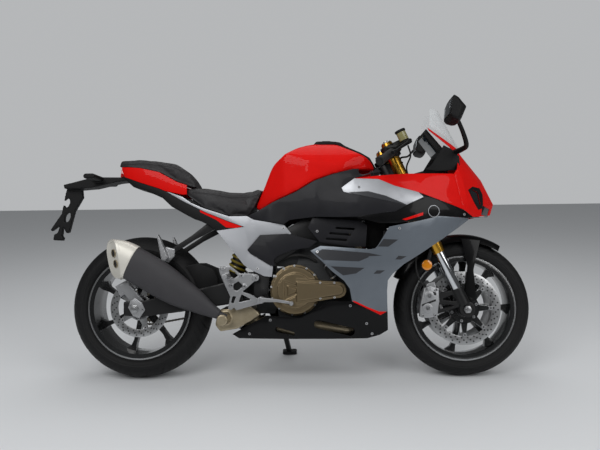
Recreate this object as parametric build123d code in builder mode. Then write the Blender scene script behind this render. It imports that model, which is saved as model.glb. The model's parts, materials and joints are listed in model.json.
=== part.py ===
from build123d import *
import math
import os

# Sport motorcycle, modelled upright and then leaned on its side stand.
# X runs forward from the rear axle, Y to the rider's left, Z up from the ground. Millimetres.

# ---- driving dimensions ----
wheelbase = 1430
rear_radius = 315
rear_width = 180
front_radius = 300
front_width = 120
flange_radius = 229
bead_depth = 15
tyre_wall = 9
rim_lip = 6
rake_angle = 24.5
lean_angle = 10
tyre_lift = 1.2
yoke_offset = 32
fork_spread = 105
fork_tube_radius = 27
stanchion_radius = 21.5
steering_limit = 27
turning_room = 6
panel_thickness = 4
frame_half = 124
caliper_face = 90
muffler_y = -192
muffler_side = 102
fit_gap = 0.3
spoke_count = 7
rear_flange_half = 76
front_flange_half = 53

rear_axle_at = Vector(0, 0, rear_radius)
front_axle_at = Vector(wheelbase, 0, front_radius)
pivot_at = Vector(560, 0, 385)
drive_sprocket_at = Vector(640, 0, 372)
shock_top_at = Vector(484, 0, 658)
fork_up = Vector(-math.sin(math.radians(rake_angle)), 0, math.cos(math.radians(rake_angle)))
fork_front = Vector(math.cos(math.radians(rake_angle)), 0, math.sin(math.radians(rake_angle)))

bead_radius = flange_radius - bead_depth
head_x = front_axle_at.X - 286
cutting_reach = 400

os.makedirs("parts", exist_ok=True)
nodes = []


# ---- planes ----
def side_plane(y=0, at=Vector(0, 0, 0)):
    """Upright plane seen from the right: local x forward, local y up, normal to the right."""
    return Plane(origin=(at.X, y, at.Z), x_dir=(1, 0, 0), z_dir=(0, -1, 0))


def fork_plane(along, set_back=0):
    """Plane square to the fork: local x to the front, local y to the left."""
    return Plane(origin=front_axle_at + fork_up * along - fork_front * set_back,
                 x_dir=fork_front, z_dir=fork_up)


def wheel_plane(axle, angle=90):
    """Plane through a wheel's axle: local x radial, local y to the left."""
    a = math.radians(angle)
    return Plane(origin=axle, x_dir=(math.cos(a), 0, math.sin(a)), z_dir=(-math.sin(a), 0, math.cos(a)))


def wheel_axis(axle):
    return Axis(axle, (0, 1, 0))


# ---- outlines: a point ends a straight run, a pair of points is an arc (through, to) ----
def trace(runs):
    start = runs[0]
    here = start
    for run in runs[1:]:
        if isinstance(run[0], tuple):
            ThreePointArc(here, run[0], run[1])
            here = run[1]
        else:
            Line(here, run)
            here = run
    if here != start:
        Line(here, start)


def carved(side_runs, plan_runs, front_runs):
    """Solid that has the given outlines from the side, from above and from the front."""
    with BuildPart() as body:
        with BuildSketch(Plane.XZ):
            with BuildLine():
                trace(side_runs)
            make_face()
        extrude(amount=cutting_reach, both=True)
        with BuildSketch(Plane.XY):
            with BuildLine():
                trace(plan_runs)
            make_face()
        extrude(amount=1400, mode=Mode.INTERSECT)
        with BuildSketch(Plane.YZ):
            with BuildLine():
                trace(front_runs)
            make_face()
        extrude(amount=2000, both=True, mode=Mode.INTERSECT)
    return body.part


def mirrored(points):
    """Closed plan or front outline from its one half, given as (along, half width)."""
    left = list(points)
    right = [(a, -w) for a, w in reversed(points)]
    return left + right


def keep(piece, name):
    piece.label = name
    nodes.append(piece)


# ---- wheels ----
def crown_points(radius, half, shoulder_drop, chords):
    """Points of a round tyre crown, from its left shoulder over the top to its right one."""
    crown_radius = (half ** 2 + shoulder_drop ** 2) / (2 * shoulder_drop)
    reach = math.asin(half / crown_radius)
    points = []
    for step in range(chords + 1):
        angle = reach * (1 - 2 * step / chords)
        points.append((radius - crown_radius * (1 - math.cos(angle)), crown_radius * math.sin(angle)))
    return points


def tyre(axle, radius, width, bead_half, sidewall_share):
    """Hollow tyre: beads inside the rim's flanges, straight walls and a crown of six chords."""
    half = width / 2
    shoulder_drop = (radius - flange_radius) * sidewall_share
    outside = crown_points(radius, half, shoulder_drop, 6)
    inside = crown_points(radius - tyre_wall, half - tyre_wall, shoulder_drop - tyre_wall, 3)
    with BuildPart() as body:
        with BuildSketch(wheel_plane(axle)):
            with BuildLine():
                Polyline((bead_radius, bead_half), (flange_radius + 1, bead_half), *outside,
                         (flange_radius + 1, -bead_half), (bead_radius, -bead_half),
                         (bead_radius, tyre_wall - bead_half), *reversed(inside),
                         (bead_radius, bead_half - tyre_wall), close=True)
            make_face()
        revolve(axis=wheel_axis(axle))
    return body.part


def rim(axle, flange_half, hub_radius, hub_half, bore_radius, spoke_half):
    barrel_inner = bead_radius - 10
    with BuildPart() as body:
        with BuildSketch(wheel_plane(axle)):
            with BuildLine():
                Polyline((bead_radius - fit_gap, 0), (bead_radius - fit_gap, flange_half - rim_lip),
                         (flange_radius, flange_half - rim_lip), (flange_radius, flange_half),
                         (barrel_inner, flange_half), (barrel_inner - 4, 0),
                         (barrel_inner, -flange_half), (flange_radius, -flange_half),
                         (flange_radius, rim_lip - flange_half), (bead_radius - fit_gap, rim_lip - flange_half),
                         close=True)
            make_face()
        revolve(axis=wheel_axis(axle))
        with BuildSketch(side_plane(-hub_half, axle)):
            Circle(hub_radius)
        extrude(amount=-2 * hub_half)
        with BuildSketch(side_plane(0, axle)):
            with PolarLocations(0, spoke_count):
                Polygon((hub_radius - 8, -14), (barrel_inner - 50, -8), (barrel_inner - 24, -14),
                        (barrel_inner - 1, -38), (barrel_inner - 1, 12), (barrel_inner - 30, 8),
                        (hub_radius - 8, 14), align=None)
        extrude(amount=spoke_half, both=True)
        with BuildSketch(side_plane(-hub_half - 1, axle)):
            Circle(bore_radius)
        extrude(amount=-2 * hub_half - 2, mode=Mode.SUBTRACT)
    return body.part


def disc(axle, y_from, thickness, outer, inner, carrier_radius):
    """Brake disc ring on its five-armed carrier."""
    with BuildPart() as body:
        with BuildSketch(side_plane(y_from, axle)):
            Circle(outer)
            Circle(inner, mode=Mode.SUBTRACT)
            with PolarLocations(0, 5):
                Polygon((carrier_radius - 4, -16), (inner + 4, -8), (inner + 4, 8), (carrier_radius - 4, 16),
                        align=None)
            Circle(carrier_radius)
            Circle(carrier_radius - 12, mode=Mode.SUBTRACT)
        extrude(amount=thickness)
    return body.part


keep(tyre(rear_axle_at, rear_radius, rear_width, rear_flange_half - rim_lip, 0.72), "rear_tyre")
keep(rim(rear_axle_at, rear_flange_half, 48, 70, 13, 16), "rear_rim")
keep(disc(rear_axle_at, -70, 5, 130, 96, 56), "rear_disc")
keep(tyre(front_axle_at, front_radius, front_width, front_flange_half - rim_lip, 0.59), "front_tyre")
keep(rim(front_axle_at, front_flange_half, 42, 57, 13, 14), "front_rim")
with BuildPart() as front_discs:
    with BuildSketch(side_plane(-57, front_axle_at)):
        Circle(160)
        Circle(122, mode=Mode.SUBTRACT)
        with PolarLocations(0, 8):
            Polygon((58, -15), (108, -9), (126, -9), (126, 9), (108, 9), (58, 15), align=None)
        Circle(68)
        Circle(38, mode=Mode.SUBTRACT)
    extrude(amount=5)
    mirror(about=Plane.XZ)
keep(front_discs.part, "front_discs")

sprocket_teeth = 42
sprocket_tip = 86
chain_y = 101
with BuildPart() as rear_sprocket:
    with BuildSketch(side_plane(chain_y + 3, rear_axle_at)):
        Circle(sprocket_tip - 6)
        with PolarLocations(sprocket_tip - 7, sprocket_teeth):
            Polygon((-1, -3.6), (7, -1.6), (7, 1.6), (-1, 3.6), align=None)
        with PolarLocations(62, 6):
            Circle(11, mode=Mode.SUBTRACT)
        Circle(30, mode=Mode.SUBTRACT)
    extrude(amount=6)
    with BuildSketch(side_plane(98, rear_axle_at)):
        Circle(46)
        Circle(30, mode=Mode.SUBTRACT)
    extrude(amount=28)
keep(rear_sprocket.part, "rear_sprocket")

# ---- fork and what turns with it ----
tube_low, tube_high = 269, 790
top_yoke_from, top_yoke_to = 728, 750
low_yoke_from, low_yoke_to = 490, 520
stem_radius = 14
with BuildPart() as fork_tubes:
    with BuildSketch(fork_plane(tube_low)):
        with Locations((0, fork_spread), (0, -fork_spread)):
            Circle(fork_tube_radius)
            Circle(stanchion_radius + fit_gap, mode=Mode.SUBTRACT)
    extrude(amount=tube_high - tube_low)
    with BuildSketch(fork_plane(tube_high)):
        with Locations((0, fork_spread), (0, -fork_spread)):
            Circle(fork_tube_radius - 2)
    extrude(amount=8)
keep(fork_tubes.part, "fork_tubes")

foot_top = 99
with BuildPart() as stanchions:
    with BuildSketch(fork_plane(foot_top)):
        with Locations((0, fork_spread), (0, -fork_spread)):
            Circle(stanchion_radius)
    extrude(amount=540 - foot_top)
keep(stanchions.part, "stanchions")

with BuildPart() as fork_feet:
    with BuildSketch(fork_plane(20)):
        with Locations((0, fork_spread), (0, -fork_spread)):
            Circle(26)
    extrude(amount=foot_top - 20)
    with BuildSketch(side_plane(-fork_spread + 19, front_axle_at)):
        Circle(34)
    extrude(amount=38)
    with BuildSketch(side_plane(-caliper_face, front_axle_at)):
        with BuildLine():
            Polyline((-15, 15), (-135, -22), (-150, 60), (-118, 72), (-38, 84), close=True)
        make_face()
        Polygon((-46, 18), (-112, 0), (-120, 22), align=None, mode=Mode.SUBTRACT)
        Polygon((-44, 34), (-112, 42), (-60, 62), align=None, mode=Mode.SUBTRACT)
    extrude(amount=25)
    mirror(about=Plane.XZ)
    with BuildSketch(side_plane(-150, front_axle_at)):
        Circle(12.5)
    extrude(amount=-300, mode=Mode.SUBTRACT)
keep(fork_feet.part, "fork_feet")

with BuildPart() as front_axle:
    with BuildSketch(side_plane(-126, front_axle_at)):
        Circle(12)
    extrude(amount=-250)
    with BuildSketch(side_plane(-124, front_axle_at)):
        RegularPolygon(17, 6)
    extrude(amount=8)
    with BuildSketch(side_plane(-132, front_axle_at)):
        Circle(10)
    extrude(amount=8)
    with BuildSketch(side_plane(-58.5, front_axle_at)):
        Circle(19)
    extrude(amount=fork_spread - 19 - 58.5)
    with BuildSketch(side_plane(58.5, front_axle_at)):
        Circle(19)
    extrude(amount=-(fork_spread - 19 - 58.5))
keep(front_axle.part, "front_axle")

with BuildPart() as yokes:
    with BuildSketch(fork_plane(top_yoke_from)):
        SlotCenterToCenter(2 * fork_spread, 78, rotation=90)
        with Locations((-yoke_offset, 0)):
            Circle(38)
        with Locations((0, fork_spread), (0, -fork_spread)):
            Circle(fork_tube_radius + fit_gap, mode=Mode.SUBTRACT)
    extrude(amount=top_yoke_to - top_yoke_from)
    with BuildSketch(fork_plane(low_yoke_from)):
        SlotCenterToCenter(2 * fork_spread, 78, rotation=90)
        with Locations((-yoke_offset, 0)):
            Circle(38)
        with Locations((0, fork_spread), (0, -fork_spread)):
            Circle(fork_tube_radius + fit_gap, mode=Mode.SUBTRACT)
    extrude(amount=low_yoke_to - low_yoke_from)
    with BuildSketch(fork_plane(low_yoke_from, yoke_offset)):
        Circle(stem_radius)
    extrude(amount=top_yoke_to + 12 - low_yoke_from)
    with BuildSketch(fork_plane(top_yoke_to, yoke_offset)):
        RegularPolygon(20, 6)
    extrude(amount=9)
keep(yokes.part, "yokes")

# front mudguard: arched sheet over the tyre, with a stay down to each fork foot
guard_inner = front_radius + 12
with BuildPart() as front_fender:
    with BuildSketch(wheel_plane(front_axle_at, 155)):
        with BuildLine():
            Polyline((292, 68.5), (guard_inner + 6, 52), (guard_inner + 14, 16), (guard_inner + 14, -16),
                     (guard_inner + 6, -52), (292, -68.5), (292, -64.5), (guard_inner + 2, -49),
                     (guard_inner + 10, -15), (guard_inner + 10, 15), (guard_inner + 2, 49), (292, 64.5),
                     close=True)
        make_face()
    revolve(axis=wheel_axis(front_axle_at), revolution_arc=97)
    with BuildSketch(side_plane(-67.5, front_axle_at)):
        with BuildLine():
            Polyline((-6, 306), (76, 296), (44, 167), (54, 40), (20, 30), (4, 62), (18, 185), close=True)
        make_face()
    extrude(amount=4)
    with BuildSketch(side_plane(-71, Vector(front_axle_at.X + 24, 0, front_axle_at.Z + 36))):
        Circle(9)
    extrude(amount=14.7)
    mirror(about=Plane.XZ)
    add(fork_feet.part, mode=Mode.SUBTRACT)
keep(front_fender.part, "front_fender")

# amber side reflectors on brackets from the lower ends of the fork tubes
reflector_at = Vector(front_axle_at.X - 166, 0, front_axle_at.Z + 191)
with BuildPart() as reflectors:
    with BuildSketch(side_plane(-103, reflector_at)):
        Circle(25)
    extrude(amount=9)
    with BuildSketch(side_plane(-103, reflector_at)):
        with BuildLine():
            Polyline((-6, 4), (14, 72), (27, 68), (10, -4), close=True)
        make_face()
    extrude(amount=4)
    mirror(about=Plane.XZ)
    add(fork_tubes.part, mode=Mode.SUBTRACT)
    add(stanchions.part, mode=Mode.SUBTRACT)
keep(reflectors.part, "reflectors")

with BuildPart() as front_calipers:
    with BuildSketch(side_plane(-42, front_axle_at)):
        with Locations((-144, 42)):
            Rectangle(70, 140, rotation=rake_angle - 8)
        Circle(196, mode=Mode.INTERSECT)
    extrude(amount=48)
    with BuildSketch(side_plane(-52, front_axle_at)):
        Circle(166)
    extrude(amount=16, mode=Mode.SUBTRACT)
    mirror(about=Plane.XZ)
keep(front_calipers.part, "front_calipers")

# clip-on handlebars: a clamp on each fork tube and a bar swept back and down
bar_inner = Vector(head_x + 8, -140, 1007)
bar_outer = Vector(head_x - 104, -345, 906)
bar_line = (bar_outer - bar_inner).normalized()
grip_start = bar_inner + bar_line * 105
with BuildPart() as handlebars:
    with BuildSketch(fork_plane(754)):
        with Locations((0, -fork_spread)):
            Circle(36)
            Circle(fork_tube_radius + fit_gap, mode=Mode.SUBTRACT)
        with Locations((34, -fork_spread - 18)):
            Rectangle(34, 44)
        with Locations((0, -fork_spread)):
            Circle(fork_tube_radius + fit_gap, mode=Mode.SUBTRACT)
    extrude(amount=30)
    with BuildSketch(Plane(origin=bar_inner + bar_line * -22, z_dir=bar_line)):
        Circle(11)
    extrude(amount=22 + (bar_outer - bar_inner).length)
    mirror(about=Plane.XZ)
keep(handlebars.part, "handlebars")

with BuildPart() as grips:
    with BuildSketch(Plane(origin=grip_start, z_dir=bar_line)):
        Circle(17)
        Circle(11, mode=Mode.SUBTRACT)
    extrude(amount=120)
    with BuildSketch(Plane(origin=grip_start + bar_line * 121, z_dir=bar_line)):
        Circle(19)
        Circle(11, mode=Mode.SUBTRACT)
    extrude(amount=24)
    mirror(about=Plane.XZ)
keep(grips.part, "grips")

lever_out = (fork_front * 0.9 + fork_up * 0.1).normalized()
lever_root = bar_inner + bar_line * 40 + lever_out * 68
lever_bend = bar_inner + bar_line * 82 + lever_out * 82
lever_end = bar_inner + bar_line * 196 + lever_out * 52
lever_ball = bar_inner + bar_line * 214 + lever_out * 50
lever_runs = [(lever_root, lever_bend, 8), (lever_bend, lever_end, 6), (lever_end, lever_ball, 9)]
reservoir_foot = bar_inner + bar_line * 42 + lever_out * 46 + fork_up * 8
with BuildPart() as controls:
    with BuildSketch(Plane(origin=bar_inner + bar_line * 62, z_dir=bar_line)):
        Rectangle(46, 42)
        Circle(11, mode=Mode.SUBTRACT)
    extrude(amount=40)
    with BuildSketch(Plane(origin=bar_inner + bar_line * 30, z_dir=bar_line)):
        Circle(20)
        Circle(11, mode=Mode.SUBTRACT)
    extrude(amount=30)
    with BuildSketch(Plane(origin=bar_inner + bar_line * 34, x_dir=lever_out, z_dir=bar_line)):
        with Locations((42, 0)):
            Rectangle(64, 20)
    extrude(amount=22)
    with BuildSketch(Plane(origin=reservoir_foot, z_dir=fork_up)):
        Circle(20)
    extrude(amount=44)
    with BuildSketch(Plane(origin=reservoir_foot + fork_up * 44, z_dir=fork_up)):
        Circle(23)
    extrude(amount=9)
    for start, end, thick in lever_runs:
        with BuildSketch(Plane(origin=start, z_dir=end - start)):
            Circle(thick)
        extrude(amount=(end - start).length + 4)
    mirror(about=Plane.XZ)
    add(handlebars.part, mode=Mode.SUBTRACT)
keep(controls.part, "controls")

# room that the yokes and the hands take at full lock
steering_axis = Axis(fork_plane(0, yoke_offset).origin, fork_up)
with BuildPart() as yoke_room:
    with BuildSketch(fork_plane(top_yoke_from - turning_room, yoke_offset)):
        for lock in (-steering_limit, steering_limit):
            with Locations(Location((0, 0), lock)):
                with Locations((yoke_offset, 0)):
                    SlotCenterToCenter(2 * fork_spread, 78 + 2 * turning_room, rotation=90)
    extrude(amount=96)
with BuildPart() as bar_room:
    with BuildSketch(Plane(origin=bar_inner, z_dir=bar_line)):
        Circle(31 + turning_room)
    extrude(amount=(bar_outer - bar_inner).length)
    mirror(about=Plane.XZ)

# ---- the body's hollow envelope, from which its shells are cut ----
# height, then the side's points (forward, half width) and the nose's cheek and tip
envelope_levels = [
    (183, (395, 100), (550, 135), (760, 150), (930, 150), (1085, 125), (1120, 70), 1150),
    (300, (395, 105), (550, 150), (760, 178), (930, 186), (1100, 165), (1200, 90), 1250),
    (500, (395, 110), (560, 150), (780, 190), (1020, 215), (1260, 185), (1350, 90), 1400),
    (690, (395, 100), (560, 136), (780, 170), (1080, 228), (1420, 150), (1515, 70), 1568),
    (760, (395, 100), (560, 137), (780, 172), (1080, 232), (1440, 140), (1540, 60), 1590),
    (870, (395, 100), (560, 137), (780, 168), (1080, 204), (1420, 132), (1496, 62), 1538),
    (1010, (395, 90), (560, 124), (780, 146), (1080, 160), (1350, 126), (1412, 66), 1432),
    (1115, (395, 80), (560, 104), (780, 120), (1000, 132), (1240, 100), (1290, 56), 1308),
]


def envelope(inset, floor_inset):
    with BuildPart() as body:
        for z, rear, hip, waist, shoulder, cheek, lip, nose in envelope_levels:
            height = z + floor_inset if z == envelope_levels[0][0] else z
            left = [(x, half - inset) for x, half in (rear, hip, waist, shoulder, cheek, lip)]
            right = [(x, -half) for x, half in reversed(left)]
            with BuildSketch(Plane.XY.offset(height)):
                with BuildLine():
                    Line(right[-1], left[0])
                    ThreePointArc(left[0], left[1], left[2])
                    ThreePointArc(left[2], left[3], left[4])
                    Polyline(left[4], left[5], (nose - inset, 0), right[0], right[1])
                    ThreePointArc(right[1], right[2], right[3])
                    ThreePointArc(right[3], right[4], right[5])
                make_face()
        loft(ruled=True)
    return body.part


outer_envelope = envelope(0, 0)
inner_envelope = envelope(panel_thickness, panel_thickness)
with BuildPart() as skin:
    add(outer_envelope)
    add(inner_envelope, mode=Mode.SUBTRACT)


def panel(runs):
    """Both sides' piece of the envelope's skin inside a side outline."""
    with BuildPart() as piece:
        with BuildSketch(Plane.XZ):
            with BuildLine():
                trace(runs)
            make_face()
        extrude(amount=cutting_reach, both=True)
        add(skin.part, mode=Mode.INTERSECT)
    return piece.part


def stay(x, z, radius, y_from):
    """Pair of round stays from a lateral place out to the inside of the envelope."""
    with BuildPart() as pair:
        with BuildSketch(side_plane(-y_from, Vector(x, 0, z))):
            Circle(radius)
        extrude(amount=cutting_reach)
        mirror(about=Plane.XZ)
        add(inner_envelope, mode=Mode.INTERSECT)
    return pair.part


# ---- side stand ----
def ground_point(x, y):
    """Point of the floor under the leaned machine, given in the upright frame."""
    a = math.radians(lean_angle)
    z = -tyre_lift
    return Vector(x, y * math.cos(a) - z * math.sin(a), y * math.sin(a) + z * math.cos(a))


floor_up = Vector(0, -math.sin(math.radians(lean_angle)), math.cos(math.radians(lean_angle)))
stand_pivot = Vector(610, 150, 256)
stand_foot = ground_point(648, 300)
stand_leg = stand_foot - stand_pivot
stand_folded = Vector(-252, 45, 20)
stand_axis = stand_leg.cross(stand_folded).normalized()
with BuildPart() as side_stand:
    with BuildSketch(Plane(origin=stand_pivot - stand_axis * 7, z_dir=stand_axis)):
        Circle(17)
        Circle(8.5, mode=Mode.SUBTRACT)
    extrude(amount=14)
    with BuildSketch(Plane(origin=stand_pivot + stand_leg.normalized() * 14, z_dir=stand_leg, x_dir=stand_axis)):
        Rectangle(13, 22)
    extrude(amount=stand_leg.length - 14 - 12)
    with BuildSketch(Plane(origin=stand_foot, x_dir=(1, 0, 0), z_dir=floor_up)):
        RectangleRounded(70, 44, 14)
    extrude(amount=16)
keep(side_stand.part, "side_stand")

# ---- chassis ----
with BuildPart() as main_frame:
    with BuildSketch(side_plane(24 - frame_half)):
        with BuildLine():
            Polyline((head_x - 109, 885), (head_x - 66, 800), (head_x - 59, 740), (head_x - 144, 700), (700, 560),
                     (600, 500), (560, 600), (700, 680), (head_x - 144, 850), close=True)
        make_face()
    extrude(amount=24)
    with BuildSketch(side_plane(-112)):
        with BuildLine():
            Polyline((700, 560), (700, 640), (560, 600), (512, 500), (515, 345), (575, 345), (582, 500), close=True)
        make_face()
    extrude(amount=18)
    mirror(about=Plane.XZ)
    with BuildSketch(fork_plane(526, yoke_offset)):
        Circle(34)
    extrude(amount=196)
    with BuildSketch(side_plane(-110)):
        with BuildLine():
            Polyline((head_x - 114, 875), (head_x - 72, 800), (head_x - 66, 752), (head_x - 124, 730),
                     (head_x - 139, 830), close=True)
        make_face()
    extrude(amount=-220)
    with BuildSketch(side_plane(-40)):
        with BuildLine():
            Polyline((head_x - 114, 875), (head_x - 44, 905), (head_x + 21, 790), (head_x - 49, 752),
                     (head_x - 104, 745), close=True)
        make_face()
    extrude(amount=-80)
    with BuildSketch(side_plane(-18)):
        with BuildLine():
            Polyline((head_x - 4, 880), (head_x + 241, 945), (head_x + 266, 945), (head_x + 246, 915),
                     (head_x + 6, 840), close=True)
        make_face()
    extrude(amount=-36)
    add(stay(860, 735, 7, 122))
    with BuildSketch(side_plane(-125)):
        with Locations((600, 605)):
            Circle(9)
    extrude(amount=8.7)
    with BuildSketch(side_plane(133.7)):
        with Locations((600, 605)):
            Circle(9)
    extrude(amount=8.7)
    with BuildSketch(fork_plane(500, yoke_offset)):
        Circle(stem_radius + 1)
    extrude(amount=240, mode=Mode.SUBTRACT)
    with BuildSketch(side_plane(-130, Vector(640, 0, 590))):
        Circle(16)
    extrude(amount=-260)
    with BuildSketch(side_plane(-139, pivot_at)):
        Circle(14)
    extrude(amount=-278)
    with BuildSketch(side_plane(128)):
        with BuildLine():
            Polyline((515, 365), (575, 365), (630, 262), (625, 225), (585, 225), (515, 345), close=True)
        make_face()
    extrude(amount=16)
    with BuildSketch(Plane(origin=stand_pivot - stand_axis * 30, z_dir=stand_axis)):
        Circle(8.2)
    extrude(amount=39)
keep(main_frame.part, "main_frame")

with BuildPart() as swingarm:
    with BuildSketch(side_plane(-112)):
        with BuildLine():
            Polyline((470, 445), (200, rear_radius + 65), (30, rear_radius + 35), (-52, rear_radius + 30),
                     (-52, rear_radius - 30), (30, rear_radius - 35), (200, rear_radius - 15), (470, 340),
                     close=True)
        make_face()
    extrude(amount=26)
    with BuildSketch(side_plane(-60)):
        with BuildLine():
            Polyline((440, 430), (560, 425), (590, 400), (560, 375), (440, 350), close=True)
        make_face()
    extrude(amount=28)
    mirror(about=Plane.XZ)
    with BuildSketch(side_plane(-112)):
        with BuildLine():
            Polyline((470, 440), (350, 410), (345, 340), (470, 345), close=True)
        make_face()
    extrude(amount=-224)
    with BuildSketch(side_plane(112)):
        with Locations((420, 420)):
            Rectangle(200, 46)
    extrude(amount=26, mode=Mode.SUBTRACT)
    with BuildSketch(side_plane(-150, pivot_at)):
        Circle(14.3)
    extrude(amount=-300, mode=Mode.SUBTRACT)
    with BuildSketch(side_plane(-150, rear_axle_at)):
        Circle(12.5)
    extrude(amount=-300, mode=Mode.SUBTRACT)
keep(swingarm.part, "swingarm")

with BuildPart() as rear_axle:
    with BuildSketch(side_plane(-148, rear_axle_at)):
        Circle(12)
    extrude(amount=-296)
    with BuildSketch(side_plane(-148, rear_axle_at)):
        Circle(10)
    extrude(amount=8)
    with BuildSketch(side_plane(-139, rear_axle_at)):
        RegularPolygon(18, 6)
    extrude(amount=9)
    with BuildSketch(side_plane(148, rear_axle_at)):
        RegularPolygon(18, 6)
    extrude(amount=9)
keep(rear_axle.part, "rear_axle")

caliper_centre = Vector(-54, 0, rear_radius + 92)
with BuildPart() as rear_caliper:
    with BuildSketch(side_plane(-54, caliper_centre)):
        Rectangle(84, 52, rotation=28)
    extrude(amount=44)
    with BuildSketch(side_plane(-63, rear_axle_at)):
        Circle(137)
    extrude(amount=18, mode=Mode.SUBTRACT)
    with BuildSketch(side_plane(-97, rear_axle_at)):
        with BuildLine():
            Polyline((-84, 98), (-46, 118), (30, 32), (26, -22), (-22, -24), (-40, 40), close=True)
        make_face()
        Circle(12.5, mode=Mode.SUBTRACT)
    extrude(amount=14.7)
keep(rear_caliper.part, "rear_caliper")

# hugger: a hood round the tyre's front upper quarter, against the swingarm's cross piece
with BuildPart() as rear_hugger:
    with BuildSketch(side_plane(-88)):
        with BuildLine():
            Polyline((185, 479), (207, 497), (266, 509), (330, 482), (349.7, 445), (349.7, 410), (347.5, 380),
                     (300, 372), (221, 424), close=True)
        make_face()
    extrude(amount=-176)
    with BuildSketch(side_plane(-84, rear_axle_at)):
        Circle(rear_radius + 7)
    extrude(amount=-168, mode=Mode.SUBTRACT)
    with BuildSketch(side_plane(-90, rear_axle_at)):
        Circle(rear_radius - 42)
    extrude(amount=-180, mode=Mode.SUBTRACT)
keep(rear_hugger.part, "rear_hugger")

with BuildPart() as rear_shock:
    shock_plane = Plane(origin=(412, 0, 442), z_dir=(0.32, 0, 0.95))
    with BuildSketch(shock_plane):
        Circle(36)
    extrude(amount=170)
    with BuildSketch(shock_plane.offset(170)):
        Circle(20)
    extrude(amount=58)
    add(swingarm.part, mode=Mode.SUBTRACT)
    with BuildSketch(side_plane(-60, shock_top_at)):
        Circle(10.3)
    extrude(amount=-120, mode=Mode.SUBTRACT)
keep(rear_shock.part, "rear_shock")

with BuildPart() as engine_case:
    with BuildSketch(Plane.XZ):
        with BuildLine():
            Polyline((620, 250), (600, 480), (700, 500), (860, 505), (930, 420), (950, 320), (900, 250),
                     close=True)
        make_face()
    extrude(amount=95, both=True)
    with BuildSketch(Plane.XZ):
        with BuildLine():
            Polyline((700, 500), (760, 700), (910, 700), (950, 560), (860, 505), close=True)
        make_face()
    extrude(amount=90, both=True)
    with BuildSketch(side_plane(-89)):
        with Locations((800, 655), (880, 690)):
            Circle(14)
    extrude(amount=11)
    with BuildSketch(side_plane(100)):
        with Locations((800, 655), (880, 690)):
            Circle(14)
    extrude(amount=11)
    add(stay(880, 273, 7, 93))
    with BuildSketch(side_plane(104, drive_sprocket_at)):
        Circle(31)
    extrude(amount=6)
    with BuildSketch(side_plane(98, drive_sprocket_at)):
        Circle(14)
    extrude(amount=10)
keep(engine_case.part, "engine_case")

clutch_at = Vector(693, 0, 388)
# lateral depth and radius of each step of the cover
clutch_steps = [(-95, 110, 20), (-115, 100, 38), (-153, 74, 17)]
with BuildPart() as clutch_cover:
    for y, radius, depth in clutch_steps:
        with BuildSketch(side_plane(y, clutch_at)):
            Circle(radius)
        extrude(amount=depth)
    for low, high, depth in ((34, 22, 76), (20, 10, 84)):
        with BuildSketch(side_plane(-95)):
            with BuildLine():
                Line((700, 384 - low - 20), (877, 390 - low))
                ThreePointArc((877, 390 - low), (877 + low, 390), (877, 390 + low))
                Polyline((877, 390 + low), (700, 396 + low + 10), (700, 364 - low))
            make_face()
        extrude(amount=depth)
    with BuildSketch(side_plane(-164, clutch_at)):
        Polygon((-46, 44), (-46, -44), (62, 4), align=None)
        Polygon((-30, 20), (-30, -20), (20, 2), align=None, mode=Mode.SUBTRACT)
    extrude(amount=6, mode=Mode.SUBTRACT)
keep(clutch_cover.part, "clutch_cover")

with BuildPart() as generator_cover:
    with BuildSketch(side_plane(95, Vector(860, 0, 380))):
        Circle(84)
    extrude(amount=-60)
    with BuildSketch(side_plane(95, Vector(740, 0, 380))):
        Rectangle(110, 130)
    extrude(amount=-35)
keep(generator_cover.part, "generator_cover")

with BuildPart() as radiator:
    with BuildSketch(side_plane(-150)):
        with BuildLine():
            Polyline((1040, 370), (1070, 370), (1105, 640), (1075, 640), close=True)
        make_face()
    extrude(amount=-300)
    for tab_y in (-80, 60):
        with BuildSketch(side_plane(tab_y)):
            with BuildLine():
                Polyline((1078, 630), (1096, 630), (1070, 770), (1052, 770), close=True)
            make_face()
        extrude(amount=-20)
    add(main_frame.part, mode=Mode.SUBTRACT)
    add(stay(1066, 470, 7, 148))
keep(radiator.part, "radiator")

# header pipes under the engine, the collector box and the link to the silencer
header_path = [(920, 640), (1005, 540), (1005, 226), (430, 250)]
with BuildPart() as exhaust_pipes:
    with BuildLine(side_plane(-45)) as header_line:
        FilletPolyline(*header_path, radius=24)
    with BuildSketch(Plane(origin=header_line.line @ 0, z_dir=header_line.line % 0)):
        Circle(19)
    sweep()
    mirror(about=Plane.XZ)
    with BuildSketch(side_plane(-116)):
        with BuildLine():
            Polyline((343, 241), (352, 290), (366, 308), (441, 316), (495, 326), (540, 285), (515, 264), (441, 224),
                     (365, 212), close=True)
        make_face()
    extrude(amount=-176)
    with BuildSketch(side_plane(-110, Vector(388, 0, 270))):
        Circle(24)
    extrude(amount=muffler_side)
    add(engine_case.part, mode=Mode.SUBTRACT)
keep(exhaust_pipes.part, "exhaust_pipes")

# forward place, height, tall, wide, and the direction that the section faces
muffler_sections = [
    (366, 296, 40, 36, -0.90, 0.44),
    (190, 400, 100, 70, -0.87, 0.49),
    (20, 488, 136, 92, -0.93, 0.36),
]
cap_face = (-72, 531, 172, 98, -0.976, -0.218)


def silencer_section(x, z, tall, wide, dir_x, dir_z):
    """Outline of the silencer with cut corners, square to its run."""
    plane = Plane(origin=(x, muffler_y, z), x_dir=(-dir_z, 0, dir_x), z_dir=(dir_x, 0, dir_z))
    corner = wide * 0.3
    with BuildSketch(plane) as section:
        Polygon((tall / 2 - corner, -wide / 2), (tall / 2, corner - wide / 2), (tall / 2, wide / 2 - corner),
                (tall / 2 - corner, wide / 2), (corner - tall / 2, wide / 2), (-tall / 2, wide / 2 - corner),
                (-tall / 2, corner - wide / 2), (corner - tall / 2, -wide / 2), align=None)
    return section.sketch


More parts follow.
